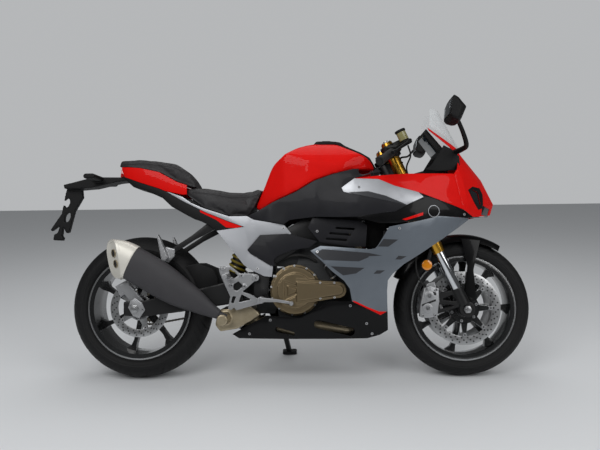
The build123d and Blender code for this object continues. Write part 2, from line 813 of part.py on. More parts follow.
with BuildPart() as muffler:
    loft(sections=[silencer_section(*place) for place in muffler_sections], ruled=True)
    with BuildSketch(Plane(origin=(360, muffler_y, 299), z_dir=(0.9, 0, -0.44))):
        Circle(15)
    extrude(amount=50)
    add(exhaust_pipes.part, mode=Mode.SUBTRACT)
keep(muffler.part, "muffler")

with BuildPart() as muffler_cap:
    loft(sections=[silencer_section(*muffler_sections[-1]), silencer_section(*cap_face)], ruled=True)
    with BuildSketch(side_plane(muffler_y + 16)):
        with Locations((-72, 505), (-72, 560)):
            Rectangle(40, 30)
    extrude(amount=32, mode=Mode.SUBTRACT)
keep(muffler_cap.part, "muffler_cap")

# chain: one closed loop of waisted link plates round both sprockets
link_pitch = 15.875


def chain_waists():
    """Place and direction of each waist on the two straight runs' outer edges."""
    rear_edge, front_edge = sprocket_tip + 13, 45
    ahead = drive_sprocket_at.X
    rise = drive_sprocket_at.Z - rear_radius
    span = math.hypot(ahead, rise)
    found = []
    for side in (1, -1):
        slope = math.atan2(rise, ahead) - side * math.asin((rear_edge - front_edge) / span)
        normal = slope + side * math.pi / 2
        start_x = rear_edge * math.cos(normal)
        start_z = rear_radius + rear_edge * math.sin(normal)
        run = math.sqrt(span ** 2 - (rear_edge - front_edge) ** 2)
        for link in range(1, int(run / link_pitch)):
            along = link * link_pitch
            place = (start_x + along * math.cos(slope), start_z + along * math.sin(slope))
            found.append((place, math.degrees(normal) - 90))
    return found


waists = chain_waists()
with BuildPart() as drive_chain:
    with BuildSketch(side_plane(chain_y + 5.5)):
        with BuildSketch(side_plane(chain_y + 5.5), mode=Mode.PRIVATE) as chain_outside:
            with Locations((0, rear_radius)):
                Circle(sprocket_tip + 13)
            with Locations((drive_sprocket_at.X, drive_sprocket_at.Z)):
                Circle(45)
            make_hull()
        with BuildSketch(side_plane(chain_y + 5.5), mode=Mode.PRIVATE) as chain_inside:
            with Locations((0, rear_radius)):
                Circle(sprocket_tip + 2)
            with Locations((drive_sprocket_at.X, drive_sprocket_at.Z)):
                Circle(34)
            make_hull()
        add(chain_outside.sketch_local)
        add(chain_inside.sketch_local, mode=Mode.SUBTRACT)
    extrude(amount=11)
    with BuildSketch(side_plane(chain_y + 5.5)):
        for place, direction in waists:
            with Locations(Location(place, direction)):
                Polygon((-4, 1), (4, 1), (2, -3), (-2, -3), align=None)
    extrude(amount=11, mode=Mode.SUBTRACT)
keep(drive_chain.part, "drive_chain")

# ---- body shells ----
with BuildPart() as tank_panels:
    add(panel([(487, 713), (535, 734), (599, 769), (700, 811), (780, 857), (860, 883), (945, 902), (1045, 905),
               (1063, 889), (951, 862), (895, 822), (903, 803), (1163, 742.6), (1117, 716.9), (1077, 713), (950, 697), (887, 697),
               (780, 702), (673, 691), (647, 673), (513, 697)]))
    for lock in (-steering_limit, steering_limit):
        add(bar_room.part.rotate(steering_axis, lock), mode=Mode.SUBTRACT)
keep(tank_panels.part, "tank_panels")
keep(panel([(895.3, 821.8), (951, 861.6), (952, 860), (1050, 855), (1117, 825), (1217, 797), (1237, 777),
            (1163, 743), (903.3, 803.3)]), "scoop_panels")
keep(panel([(953, 861), (1050, 870), (1157, 878), (1383, 883), (1400, 800), (1417, 727.4), (1317, 761.4),
            (1217, 797.4), (1117, 825.4), (1050, 855.4), (953, 860.3)]), "upper_fairings")
lamp_opening = [(1457, 811), (1473, 819), (1500, 806), (1509, 753), (1490, 752), (1465, 780)]
chin_opening = [(1519, 750), (1600, 728), (1600, 704), (1514, 707)]
with BuildPart() as nose_cowl:
    add(panel([(1383.3, 884), (1399, 905), (1412, 950), (1400, 985), (1290, 1085), (1288, 1102), (1425, 1003),
               (1600, 1003), (1600, 715), (1500, 700), (1467.4, 697.3), (1417.3, 727.2), (1400.3, 800)]))
    for side in (1, -1):
        with BuildSketch(side_plane(60 * side)):
            Polygon(*lamp_opening, align=None)
        extrude(amount=-side * cutting_reach, mode=Mode.SUBTRACT)
        with BuildSketch(side_plane(14 * side)):
            Polygon(*chin_opening, align=None)
        extrude(amount=-side * cutting_reach, mode=Mode.SUBTRACT)
keep(nose_cowl.part, "nose_cowl")
keep(panel([(950, 696.6), (1077, 712.6), (1117, 716.6), (1163, 742.6), (1237.4, 776.9), (1217.4, 796.6),
            (1317, 761), (1417, 726.6), (1467, 697), (1443, 690.4), (1303, 697.4), (1217, 677.4), (1117, 668), (1050, 668)]),
     "band_panels")
keep(panel([(1090, 653), (1217, 677), (1303, 697), (1443, 690), (1443, 683), (1383, 643), (1317, 600),
            (1217, 537), (1150, 497), (1103, 457), (1083, 430), (1080, 383), (1083, 300.3), (1053, 283.3),
            (1000, 310.3), (933, 343.3), (923, 397), (900, 430), (850, 470), (803, 517), (760, 557),
            (803, 577), (1003, 560), (1030, 563), (1043, 577)]), "lower_fairings")
# middle, length between the rounds' centres, width and slope of each slot
belly_slots = [(858, 230, 140, 36, -13.7), (648, 214, 66, 20, -17)]
with BuildPart() as belly_pan:
    add(panel([(417, 200), (460, 175), (967, 175), (1053, 197), (1087, 217), (1083, 300), (1053, 283),
               (1000, 310), (933, 343), (840, 345), (767, 297), (713, 273), (573, 283), (513, 253)]))
    with BuildSketch(side_plane(100)):
        with BuildLine():
            Polyline((540, 300), (540, 215), (700, 205), (700, 300), close=True)
        make_face()
    extrude(amount=-100, mode=Mode.SUBTRACT)
    with BuildSketch(side_plane(-60)):
        for x, z, between, across, slope in belly_slots:
            with Locations(Location((x, z), slope)):
                SlotCenterToCenter(between, across)
    extrude(amount=cutting_reach, mode=Mode.SUBTRACT)
keep(belly_pan.part, "belly_pan")

screen_foot_radius = 150
screen_top_radius = 77
screen_height = 222
screen_thickness = 3
screen_plane = Plane(origin=(1296, 0, 975), z_dir=(-0.14, 0, 0.99))
with BuildPart() as windscreen:
    with Locations(screen_plane):
        Cone(screen_foot_radius, screen_top_radius, screen_height, align=(Align.CENTER, Align.CENTER, Align.MIN))
        Cone(screen_foot_radius - screen_thickness, screen_top_radius - screen_thickness, screen_height,
             align=(Align.CENTER, Align.CENTER, Align.MIN), mode=Mode.SUBTRACT)
    with BuildSketch(Plane.XZ):
        with BuildLine():
            Polyline((1500, 1003.4), (1425, 1003.4), (1288, 1102.5), (1300, 1188), (1345, 1188), close=True)
        make_face()
    extrude(amount=cutting_reach, both=True, mode=Mode.INTERSECT)
keep(windscreen.part, "windscreen")

with BuildPart() as headlamps:
    with BuildSketch(side_plane(-54)):
        with BuildLine():
            Polyline((1450, 812), (1473, 827), (1508, 812), (1518, 745), (1486, 744), (1456, 780), close=True)
        make_face()
    extrude(amount=90)
    with BuildSketch(side_plane(-8)):
        with BuildLine():
            Polyline((1506, 758), (1600, 736), (1600, 700), (1502, 704), close=True)
        make_face()
    extrude(amount=90)
    with BuildSketch(Plane.XY.offset(700)):
        Polygon((1450, 0), (1535, 0), (1450, -120), align=None)
    extrude(amount=130, mode=Mode.SUBTRACT)
    mirror(about=Plane.XZ)
    add(inner_envelope, mode=Mode.INTERSECT)
keep(headlamps.part, "headlamps")

# ---- tank, seats and tail ----
tank_front_view = [(-168, 700), (-168, 880), ((-145, 975), (-85, 1032)), ((0, 1050), (85, 1032)),
                   ((145, 975), (168, 880)), (168, 700)]
tank_shell = carved([(516, 753), (535, 736), (599, 771), (700, 813), (780, 859), (860, 885), (945, 904), (1047, 908),
             (1040, 935), (1010, 962), (915, 1010), (880, 1030), (775, 1032), (757, 1030), (709, 1014),
             (655, 984), (607, 943), (591, 919), (559, 841)],
            mirrored([(500, 55), (560, 95), (650, 140), (750, 160), (900, 165), (1000, 140), (1060, 100)]),
            tank_front_view)
with BuildPart() as fuel_tank:
    add(tank_shell)
    with BuildSketch(side_plane(-30)):
        with BuildLine():
            Polyline((950, 915), (1030, 915), (1040, 870), (1010, 820), close=True)
        make_face()
    extrude(amount=-60)
    add(main_frame.part, mode=Mode.SUBTRACT)
    add(yoke_room.part, mode=Mode.SUBTRACT)
keep(fuel_tank.part, "fuel_tank")
keep(carved([(775, 1032.3), (880, 1030.3), (915, 1010.3), (1010, 962.3), (1040, 935.3), (1047, 908.3), (1060, 920),
             (1030, 972), (991, 995), (921, 1025), (895, 1043), (847, 1050), (792, 1050)],
            mirrored([(770, 60), (900, 75), (1070, 60)]),
            [(-200, 700), (-200, 1100), (200, 1100), (200, 700)]), "tank_cover")
keep(carved([(205, 838), (300, 833), (407, 815), (460, 815), (503, 820), (553, 838), (513, 755), (487, 715),
             (407, 712), (300, 747), (240, 790), (205, 820)],
            mirrored([(200, 96), (300, 125), (400, 115), (480, 90), (570, 80)]),
            [(-125, 700), (-125, 790), ((-115, 825), (-85, 838)), (85, 838), ((115, 825), (125, 790)),
             (125, 700)]), "rider_seat")
keep(carved([(-108, 950), (-100, 972), (0, 971), (80, 962), (165, 946), (200, 922), (228, 890), (255, 846),
             (240, 846), (175, 868), (90, 915), (0, 937), (-90, 946)],
            mirrored([(-110, 48), (-60, 70), (60, 90), (180, 95), (260, 85)]),
            [(-95, 800), (-95, 930), ((-88, 962), (-60, 974)), (60, 974), ((88, 962), (95, 930)),
             (95, 800)]), "passenger_seat")
tail_side = [(-92, 938), (-75, 900), (0, 872), (90, 842), (120, 829), (200, 811), (218, 812), (218, 853),
             (175, 867.7), (90, 914.7), (0, 936.7), (-90, 945.7)]
tail_plan = [(-100, 50), (-60, 74), (90, 103), (230, 116)]
tail_front_view = [(-200, 700), (-200, 1000), (200, 1000), (200, 700)]
with BuildPart() as tail_cowl:
    add(carved(tail_side, mirrored(tail_plan), tail_front_view))
    with BuildSketch(Plane.XY):
        with BuildLine():
            trace(mirrored([(x + 5, half - panel_thickness) for x, half in tail_plan]))
        make_face()
    extrude(amount=1400, mode=Mode.SUBTRACT)
keep(tail_cowl.part, "tail_cowl")

rear_plan = [(-100, 56), (0, 86), (130, 110), (300, 128), (500, 136), (700, 140), (820, 140)]
with BuildPart() as rear_skin:
    with BuildSketch(Plane.XY.offset(400)):
        with BuildLine():
            trace(mirrored(rear_plan))
        make_face()
    extrude(amount=540)
    with BuildSketch(Plane.XY.offset(400)):
        with BuildLine():
            trace(mirrored([(x, half - panel_thickness) for x, half in rear_plan]))
        make_face()
    extrude(amount=540, mode=Mode.SUBTRACT)


def rear_panel(runs):
    with BuildPart() as piece:
        with BuildSketch(Plane.XZ):
            with BuildLine():
                trace(runs)
            make_face()
        extrude(amount=cutting_reach, both=True)
        add(rear_skin.part, mode=Mode.INTERSECT)
    return piece.part


# knee covers stand proud of the side covers
knee_outline = [(487, 564), (543, 628), (662, 632), (791, 598), (758, 571), (683, 562), (618, 536), (602, 520),
                (607, 493), (586, 496), (500, 548)]
with BuildPart() as knee_covers:
    for grown, mode in ((6, Mode.ADD), (-panel_thickness, Mode.SUBTRACT)):
        with BuildSketch(Plane.XY.offset(400)):
            with BuildLine():
                trace(mirrored([(x, half + grown) for x, half in rear_plan]))
            make_face()
        extrude(amount=540, mode=mode)
    with BuildSketch(Plane.XZ):
        with BuildLine():
            trace(knee_outline)
        make_face()
    extrude(amount=cutting_reach, both=True, mode=Mode.INTERSECT)
keep(knee_covers.part, "knee_covers")

with BuildPart() as side_covers:
    add(rear_panel([(129, 826), (200, 800), (240, 772), (300, 746), (407, 711), (487, 711), (513, 695),
                    (647, 671), (678, 633), (600, 560), (597, 483), (593, 447), (560, 450), (493, 483),
                    (471, 500), (353, 649), (475, 664), (400, 692), (300, 733), (200, 783), (150, 812)]))
    add(knee_covers.part, mode=Mode.SUBTRACT)
keep(side_covers.part, "side_covers")

# vent covers over the frame, with three slots, on bosses from the frame's sides
vent_slots = [(910, 651, 74, 9, -4), (888, 628, 84, 9, -5), (872, 605, 84, 9, -5)]
vent_bosses = [(800, 640), (880, 676)]
with BuildPart() as vent_covers:
    with BuildSketch(side_plane(-150)):
        with BuildLine():
            Polyline((772, 700), (845, 694), (973, 684), (1004, 664), (997, 572), (928, 573), (801, 594),
                     (750, 657), close=True)
        make_face()
        for x, z, between, across, slope in vent_slots:
            with Locations(Location((x, z), slope)):
                SlotCenterToCenter(between, across, mode=Mode.SUBTRACT)
    extrude(amount=8)
    for x, z in vent_bosses:
        with BuildSketch(side_plane(-frame_half, Vector(x, 0, z))):
            Circle(12)
        extrude(amount=150 - frame_half)
    mirror(about=Plane.XZ)
    add(inner_envelope, mode=Mode.INTERSECT)
keep(vent_covers.part, "vent_covers")
with BuildPart() as tail_underside:
    add(rear_panel([(-82, 903), (-30, 856), (30, 838), (108, 802), (150, 763), (222, 722), (330, 668),
                    (350, 651), (471, 664), (398, 690), (300, 731), (200, 781), (150, 810), (129, 824),
                    (90, 840), (0, 870)]))
    add(carved([(-86, 900), (-32, 853), (30, 834), (108, 798), (150, 759), (222, 718), (330, 662), (340, 668),
              (226, 724), (154, 765), (112, 804), (32, 841), (-30, 861), (-80, 905)],
               mirrored([(x, half - panel_thickness) for x, half in rear_plan]), tail_front_view))
keep(tail_underside.part, "tail_underside")

with BuildPart() as subframe:
    with BuildSketch(side_plane(-48)):
        with BuildLine():
            Polyline((660, 575), (560, 605), (340, 690), (230, 745), (110, 805.3), (-30, 872), (-30, 890), (110, 838),
                     (240, 789.5), (300, 746.6), (406, 711.6), (570, 650), (660, 605), close=True)
        make_face()
    extrude(amount=18)
    with BuildSketch(side_plane(-98)):
        with BuildLine():
            Polyline((370, 670), (250, 610), (140, 540), (130, 560), (240, 630), (330, 700), close=True)
        make_face()
    extrude(amount=14)
    with BuildSketch(side_plane(-60)):
        with Locations((350, 688)):
            Circle(9)
    extrude(amount=52)
    with BuildSketch(side_plane(0, shock_top_at)):
        Circle(10)
    extrude(amount=60)
    mirror(about=Plane.XZ)
    with BuildSketch(side_plane(-60, Vector(0, 0, 872))):
        Rectangle(30, 10)
    extrude(amount=-120)
    with BuildSketch(side_plane(-140, Vector(640, 0, 590))):
        Circle(16.2)
    extrude(amount=-280, mode=Mode.SUBTRACT)
keep(subframe.part, "subframe")

with BuildPart() as plate_carrier:
    with BuildSketch(side_plane(-40)):
        with BuildLine():
            Polyline((-366, 872), (-362, 855), (-300, 853), (-230, 858), (-120, 882), (-60, 888), (-60, 902),
                     (-200, 905), (-230, 905), close=True)
        make_face()
    extrude(amount=-80)
    with BuildSketch(side_plane(-12)):
        with BuildLine():
            Polyline((-362, 856), (-292, 856), (-288, 815), (-325, 752), (-350, 655), (-362, 652), (-378, 683),
                     (-383, 640), (-375, 630), (-378, 618), (-422, 620), (-420, 645), (-402, 655), (-392, 690),
                     (-430, 662), (-436, 668), (-385, 742), (-368, 835), close=True)
        make_face()
        with Locations((-362, 792)):
            Ellipse(14, 22, rotation=-15, mode=Mode.SUBTRACT)
        with Locations((-358, 725)):
            Ellipse(13, 24, rotation=-20, mode=Mode.SUBTRACT)
    extrude(amount=-24)
    with BuildSketch(side_plane(-150)):
        with Locations((-205, 895)):
            RectangleRounded(50, 22, 10)
    extrude(amount=-300)
    add(tail_underside.part, mode=Mode.SUBTRACT)
keep(plate_carrier.part, "plate_carrier")

with BuildPart() as tail_lamp:
    with BuildSketch(side_plane(-44)):
        with BuildLine():
            Polyline((-101, 903), (-82, 903), (-70, 935), (-98, 935), close=True)
        make_face()
    extrude(amount=-88)
    for neighbour in (tail_underside, plate_carrier, tail_cowl):
        add(neighbour.part, mode=Mode.SUBTRACT)
keep(tail_lamp.part, "tail_lamp")

with BuildPart() as passenger_pegs:
    with BuildSketch(side_plane(-112)):
        Polygon((112, 585), (168, 572), (166, 540), (140, 512), (122, 518), align=None)
    extrude(amount=10)
    with BuildSketch(side_plane(-122)):
        Polygon((98, 638), (109, 620), (144, 533), (131, 516), (114, 524), (96, 620), align=None)
    extrude(amount=26)
    mirror(about=Plane.XZ)
keep(passenger_pegs.part, "passenger_pegs")

# ---- cockpit ----
with BuildPart() as instrument_panel:
    with BuildSketch(side_plane(-75)):
        with BuildLine():
            Polyline((1267, 1075), (1281, 1097), (1356, 1005), (1374, 986), (1480, 960), (1480, 940), (1352, 964),
                     (1332, 986), close=True)
        make_face()
    extrude(amount=-150)
    add(inner_envelope, mode=Mode.INTERSECT)
    add(main_frame.part, mode=Mode.SUBTRACT)
keep(instrument_panel.part, "instrument_panel")

mirror_base = Vector(1400, -90, 985)
mirror_knee = Vector(1425, -196, 992)
mirror_head = Vector(1350, -330, 1092)
with BuildPart() as mirrors:
    with BuildSketch(side_plane(-300)):
        with BuildLine():
            Polyline((1327, 1157), (1349, 1144), (1379, 1108), (1356, 1058), (1345, 1046), (1316, 1054), (1306, 1066),
                     (1311, 1117), close=True)
        make_face()
    extrude(amount=130)
    for start, end in ((mirror_base, mirror_knee), (mirror_knee, mirror_head)):
        with BuildSketch(Plane(origin=start, z_dir=end - start)):
            Circle(10)
        extrude(amount=(end - start).length + 6)
    add(outer_envelope, mode=Mode.SUBTRACT)
    mirror(about=Plane.XZ)
keep(mirrors.part, "mirrors")

# ---- footrests ----
hanger_openings = [[(420, 470), (470, 452), (500, 478), (440, 488)], [(490, 438), (546, 378), (560, 455), (520, 464)]]
with BuildPart() as footrests:
    with BuildSketch(side_plane(-140)):
        with BuildLine():
            Polyline((575, 475), (400, 502), (365, 497), (390, 438), (450, 425), (520, 345), (575, 345), close=True)
        make_face()
        for opening in hanger_openings:
            Polygon(*opening, align=None, mode=Mode.SUBTRACT)
    extrude(amount=12)
    with BuildSketch(side_plane(-152)):
        with Locations((405, 452)):
            Circle(12)
    extrude(amount=100)
    with BuildSketch(side_plane(-152)):
        with Locations((552, 352)):
            Circle(15)
    extrude(amount=26)
    with BuildSketch(side_plane(-174)):
        Polygon((545, 362), (620, 354), (684, 342), (684, 331), (620, 341), (545, 342), align=None)
    extrude(amount=7)
    with BuildSketch(side_plane(-174, Vector(678, 0, 337))):
        Circle(9)
    extrude(amount=30)
    mirror(about=Plane.XZ)
keep(footrests.part, "footrests")

# ---- parked on the side stand, origin under the middle of the machine ----
leaned = [node.moved(Location((0, 0, tyre_lift), (-lean_angle, 0, 0))) for node in nodes]
bounds = Compound(children=[node.moved(Location()) for node in leaned]).bounding_box()
centre_shift = Location((-bounds.center().X, -bounds.center().Y, -bounds.min.Z))
for node, piece in zip(nodes, leaned):
    parked = piece.moved(centre_shift)
    parked.label = node.label
    export_step(parked, f"parts/{node.label}.step")
print("nodes", len(nodes), "shift", centre_shift.position, "size", bounds.size)
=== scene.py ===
import json
import math

import bmesh
import bpy
from mathutils import Matrix, Vector
from mathutils.bvhtree import BVHTree
from mathutils.geometry import tessellate_polygon


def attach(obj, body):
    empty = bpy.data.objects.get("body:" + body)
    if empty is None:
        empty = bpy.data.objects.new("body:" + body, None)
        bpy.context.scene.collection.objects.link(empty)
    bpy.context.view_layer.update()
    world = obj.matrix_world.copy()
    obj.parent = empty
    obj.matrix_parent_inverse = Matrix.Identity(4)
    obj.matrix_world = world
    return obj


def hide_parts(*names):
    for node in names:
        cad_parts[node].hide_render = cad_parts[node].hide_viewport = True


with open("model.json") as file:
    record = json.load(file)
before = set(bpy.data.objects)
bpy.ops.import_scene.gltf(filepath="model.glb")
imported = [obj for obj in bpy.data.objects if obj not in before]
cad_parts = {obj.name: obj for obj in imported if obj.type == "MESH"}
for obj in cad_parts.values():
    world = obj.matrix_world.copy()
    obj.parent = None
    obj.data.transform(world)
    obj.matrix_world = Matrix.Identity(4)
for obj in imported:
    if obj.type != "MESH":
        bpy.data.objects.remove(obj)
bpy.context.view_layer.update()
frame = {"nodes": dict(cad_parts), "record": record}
print("frame loaded")

machine = {  # upright machine in mm: x forward, y to its left, z up, from the floor under the rear axle
    "rearAxle": (0, 0, 315), "frontAxle": (1430, 0, 300), "rake": 24.5,
    "lean": 10, "parkedAt": (-0.647, -0.191273, 0.0012),  # on its side stand, in degrees and metres
    "outside": 600,  # a lateral place beyond every piece
}
rearAxle, frontAxle = Vector(machine["rearAxle"]), Vector(machine["frontAxle"])
rake = math.radians(machine["rake"])
forkUp = Vector((-math.sin(rake), 0, math.cos(rake)))
forkFront = Vector((math.cos(rake), 0, math.sin(rake)))
right, left = -1, 1  # sides of the machine, as signs of y
flanks = (right, left)
park = (Matrix.Translation(machine["parkedAt"]) @ Matrix.Rotation(-math.radians(machine["lean"]), 4, "X")
        @ Matrix.Scale(0.001, 4))  # from the upright machine to its place in the frame
unpark = park.inverted()
bodyOf = {node: body for body, nodes in frame["record"]["behaviour"]["bodies"].items() for node in nodes}


def linear(code):  # shader colour of an sRGB hex code
    parts = [int(code[i:i + 2], 16) / 255 for i in (0, 2, 4)]
    return [c / 12.92 if c <= 0.04045 else ((c + 0.055) / 1.055) ** 2.4 for c in parts] + [1]


def addNode(tree, kind, settings=None, links=None):
    node = tree.nodes.new(kind)
    for name, value in (settings or {}).items():
        if isinstance(name, str) and name[0].islower() and hasattr(node, name):
            setattr(node, name, value)
        else:
            node.inputs[name].default_value = value
    for name, source in (links or {}).items():
        tree.links.new(source, node.inputs[name])
    return node


def blankMaterial(name):  # a material with an empty node tree
    material = bpy.data.materials.new(name)
    material.use_nodes = True
    material.node_tree.nodes.clear()
    return material, material.node_tree


def finish(name, colour, second, rough=0.4, roughSpread=0.08, metallic=0.0, specular=0.5, coat=0.0,
           coatRough=0.05, grain=1.0, bump=0.0, patch=60.0):  # grain and patch are in mm
    material, tree = blankMaterial(name)
    place = addNode(tree, "ShaderNodeTexCoord")
    drift = addNode(tree, "ShaderNodeTexNoise", {"Scale": 1000 / patch, "Detail": 3.0},
                    {"Vector": place.outputs["Object"]})
    tint = addNode(tree, "ShaderNodeMix", {"data_type": "RGBA", 6: linear(colour), 7: linear(second)},
                   {"Factor": drift.outputs["Fac"]})
    roughRange = {"To Min": rough - roughSpread, "To Max": rough + roughSpread}
    spread = addNode(tree, "ShaderNodeMapRange", roughRange, {"Value": drift.outputs["Fac"]})
    shader = addNode(tree, "ShaderNodeBsdfPrincipled",
                     {"Metallic": metallic, "Specular IOR Level": specular, "Coat Weight": coat,
                      "Coat Roughness": coatRough},
                     {"Base Color": tint.outputs[2], "Roughness": spread.outputs["Result"]})
    if bump:
        fine = addNode(tree, "ShaderNodeTexNoise", {"Scale": 1000 / grain, "Detail": 2.0},
                       {"Vector": place.outputs["Object"]})
        relief = addNode(tree, "ShaderNodeBump", {"Strength": bump, "Distance": grain / 1000},
                         {"Height": fine.outputs["Fac"]})
        tree.links.new(relief.outputs["Normal"], shader.inputs["Normal"])
    addNode(tree, "ShaderNodeOutputMaterial", {}, {"Surface": shader.outputs["BSDF"]})
    return material


def clearScreen(name, colour="dfe4e6", alpha=0.16, ior=1.49, coat=0.35, rough=(0.03, 0.07)):
    material, tree = blankMaterial(name)
    place = addNode(tree, "ShaderNodeTexCoord")
    haze = addNode(tree, "ShaderNodeTexNoise", {"Scale": 20.0}, {"Vector": place.outputs["Object"]})
    spread = addNode(tree, "ShaderNodeMapRange", {"To Min": rough[0], "To Max": rough[1]},
                     {"Value": haze.outputs["Fac"]})
    glass = addNode(tree, "ShaderNodeBsdfPrincipled",
                    {"Base Color": linear(colour), "IOR": ior, "Alpha": alpha, "Coat Weight": coat},
                    {"Roughness": spread.outputs["Result"]})
    addNode(tree, "ShaderNodeOutputMaterial", {}, {"Surface": glass.outputs["BSDF"]})
    return material


looks = {  # two close colours and the surface of each finish
    "lacquerRed": ("d40a04", "c80803", dict(  # clear-coated lacquer: deep red with a sharp but weak shine
        rough=0.5, coat=0.16, coatRough=0.03, specular=0.08)),
    "satinSilverPaint": ("b2b4b8", "a8aaaf", dict(  # metallic base, satin coat: sparkle, soft highlights
        metallic=0.5, grain=0.6, bump=0.05, coat=0.3, coatRough=0.2)),
    "blueGreyPaint": ("666d75", "5e656d", dict(  # the same paint in blue grey
        metallic=0.45, grain=0.6, bump=0.05, coat=0.35, coatRough=0.18)),
    "charcoalPaint": ("1a1a1f", "151518", dict(  # matt lacquer: dark and even, broad highlights
        rough=0.5, coat=0.05, specular=0.22)),
    "stripeCharcoal": ("303135", "2b2c2f", dict(  # printed film: a shade lighter than the charcoal
        rough=0.42, coat=0.2, coatRough=0.15, specular=0.3)),
    "blackSatinPaint": ("030304", "060607", dict(  # nearly black, with a thin gleam at grazing angles
        rough=0.36, coat=0.14, coatRough=0.06, specular=0.14)),
    "mouldedBlack": ("0b0b0c", "101011", dict(  # moulded plastic: fine pebbled grain and a dull sheen
        rough=0.58, grain=0.9, bump=0.25, specular=0.22)),
    "powderBlack": ("0c0c0d", "111112", dict(  # powder coat: faint orange peel, a softer shine than paint
        rough=0.44, grain=1.4, bump=0.2, specular=0.35)),
    "castAluminium": ("3a3b3c", "2f3031", dict(  # sand-cast and dark: pitted skin, uneven shine
        rough=0.52, metallic=0.7, grain=1.6, bump=0.3)),
    "bronzeCover": ("83745a", "766850", dict(  # bronze-toned magnesium paint: warm, lightly grained
        rough=0.36, metallic=0.8, grain=1.2, bump=0.15)),
    "goldAnodised": ("c99a3c", "bd8f35", dict(  # anodised tube: clear gold with a narrow highlight
        rough=0.26, metallic=1.0)),
    "hardChrome": ("d2d5d8", "c8cbce", dict(  # ground and plated: almost a mirror
        rough=0.08, roughSpread=0.02, metallic=1.0)),
    "brushedSteel": ("b4b5b6", "a6a7a8", dict(  # machined steel: bright, with a drawn-out highlight
        rough=0.3, metallic=1.0, grain=0.8, bump=0.1)),
    "machinedLip": ("d8d9da", "cccdce", dict(  # turned rim edge: a bright thin line
        rough=0.2, roughSpread=0.04, metallic=1.0)),
    "satinCap": ("d8d5cc", "ccc9c0", dict(  # bead-blasted metal: pale, warm and matt
        rough=0.45, metallic=0.4, grain=1.0, bump=0.12)),
    "heatPaint": ("333235", "2c2b2e", dict(  # heat-resistant paint: dead matt, a little grey
        rough=0.62, grain=1.2, bump=0.15)),
    "heatedSteel": ("b7ab93", "8f836b", dict(  # steel tinted by heat: straw and brown patches
        rough=0.42, metallic=0.85, grain=1.0, bump=0.15, patch=30.0)),
    "silverCaliper": ("a5a6a8", "98999b", dict(  # silver paint on a casting: grey with a soft glint
        metallic=0.7, grain=1.2, bump=0.15)),
    "rimBlack": ("0c0d0e", "101112", dict(  # gloss black under clear coat: sharp reflections
        rough=0.25, coat=0.7, coatRough=0.06)),
    "tyreRubber": ("0c0c0d", "121213", dict(  # rubber: charcoal with a dusty, broad sheen
        rough=0.66, grain=1.5, bump=0.3, specular=0.3)),
    "gripRubber": ("121212", "181818", dict(  # softer rubber: duller still
        rough=0.75, grain=1.2, bump=0.3)),
    "seatVinyl": ("1c1b1d", "232224", dict(  # embossed vinyl: leather-like grain with soft glints
        rough=0.55, grain=1.8, bump=0.4)),
    "seamThread": ("3a3a3b", "323233", dict(  # twisted thread: matt grey dots along the welt
        rough=0.7, grain=0.4, bump=0.5)),
    "chainSteel": ("8a8478", "6f695f", dict(  # oiled chain: brownish metal, broken highlights
        rough=0.36, metallic=0.9, grain=1.5, bump=0.2)),
    "boltSteel": ("b9babc", "a9aaac", dict(  # zinc-plated screws: small pale glints
        rough=0.34, metallic=0.7, grain=0.5, bump=0.05)),
    "paintedRecessShade": ("070708", "0a0a0b", dict(  # painted shade: near-black that stands in for the shade inside a hole, socket, slot or outlet
        rough=0.6, grain=0.5, bump=0.1)),
    "amberLens": ("e08a10", "d47e0a", dict(rough=0.15, coat=1.0)),  # amber plastic: saturated, wet shine
    "redLens": ("a50c0c", "970909", dict(rough=0.12, coat=1.0)),  # ruby plastic: dark red, wet shine
    "lampGlass": ("0a0c0f", "101318", dict(  # dark lens over an unlit lamp: black with a clear reflection
        rough=0.06, roughSpread=0.02, coat=1.0)),
    "mirrorGlass": ("b9bdc1", "b4b8bc", dict(  # silvered glass: a true reflection
        rough=0.03, roughSpread=0.01, metallic=1.0)),
    "displayGlass": ("1a2a3a", "0d1620", dict(  # unlit screen: blue black under glass
        rough=0.08, roughSpread=0.02, coat=1.0)),
    "springYellow": ("8a7a24", "7d6d1c", dict(coat=0.4)),  # coated spring wire: mustard with a soft gloss
    "fluidCup": ("8f8a5c", "7f7a4e", dict(  # clear plastic with brake fluid behind it: pale olive
        rough=0.25, coat=0.6)),
}
finishes = {name: finish(name, *colours, **surface) for name, (*colours, surface) in looks.items()}
finishes["clearAcrylic"] = clearScreen("clearAcrylic")  # thin acrylic: faintly grey and see-through

nodesOf = {  # the frame's nodes that wear each finish
    "tyreRubber": "rear_tyre front_tyre", "rimBlack": "rear_rim front_rim", "goldAnodised": "fork_tubes",
    "brushedSteel": "rear_disc front_discs front_axle rear_axle", "chainSteel": "rear_sprocket drive_chain",
    "hardChrome": "stanchions", "castAluminium": "engine_case", "bronzeCover": "clutch_cover generator_cover",
    "powderBlack": "fork_feet yokes handlebars side_stand main_frame swingarm rear_shock radiator subframe",
    "silverCaliper": "front_calipers rear_caliper footrests passenger_pegs", "gripRubber": "grips",
    "mouldedBlack": "controls rear_hugger tank_cover tail_underside plate_carrier instrument_panel mirrors",
    "blackSatinPaint": "front_fender band_panels belly_pan", "heatedSteel": "exhaust_pipes",
    "heatPaint": "muffler", "satinCap": "muffler_cap", "seatVinyl": "rider_seat passenger_seat",
    "lacquerRed": "fuel_tank tail_cowl upper_fairings nose_cowl", "blueGreyPaint": "lower_fairings",
    "satinSilverPaint": "side_covers scoop_panels", "charcoalPaint": "knee_covers vent_covers tank_panels",
    "clearAcrylic": "windscreen", "lampGlass": "headlamps", "amberLens": "reflectors", "redLens": "tail_lamp",
}
nodeFinish = {node: name for name, nodes in nodesOf.items() for node in nodes.split()}


def dress(mesh, finishName):  # one finish over the whole mesh
    mesh.materials.clear()
    mesh.materials.append(finishes[finishName])


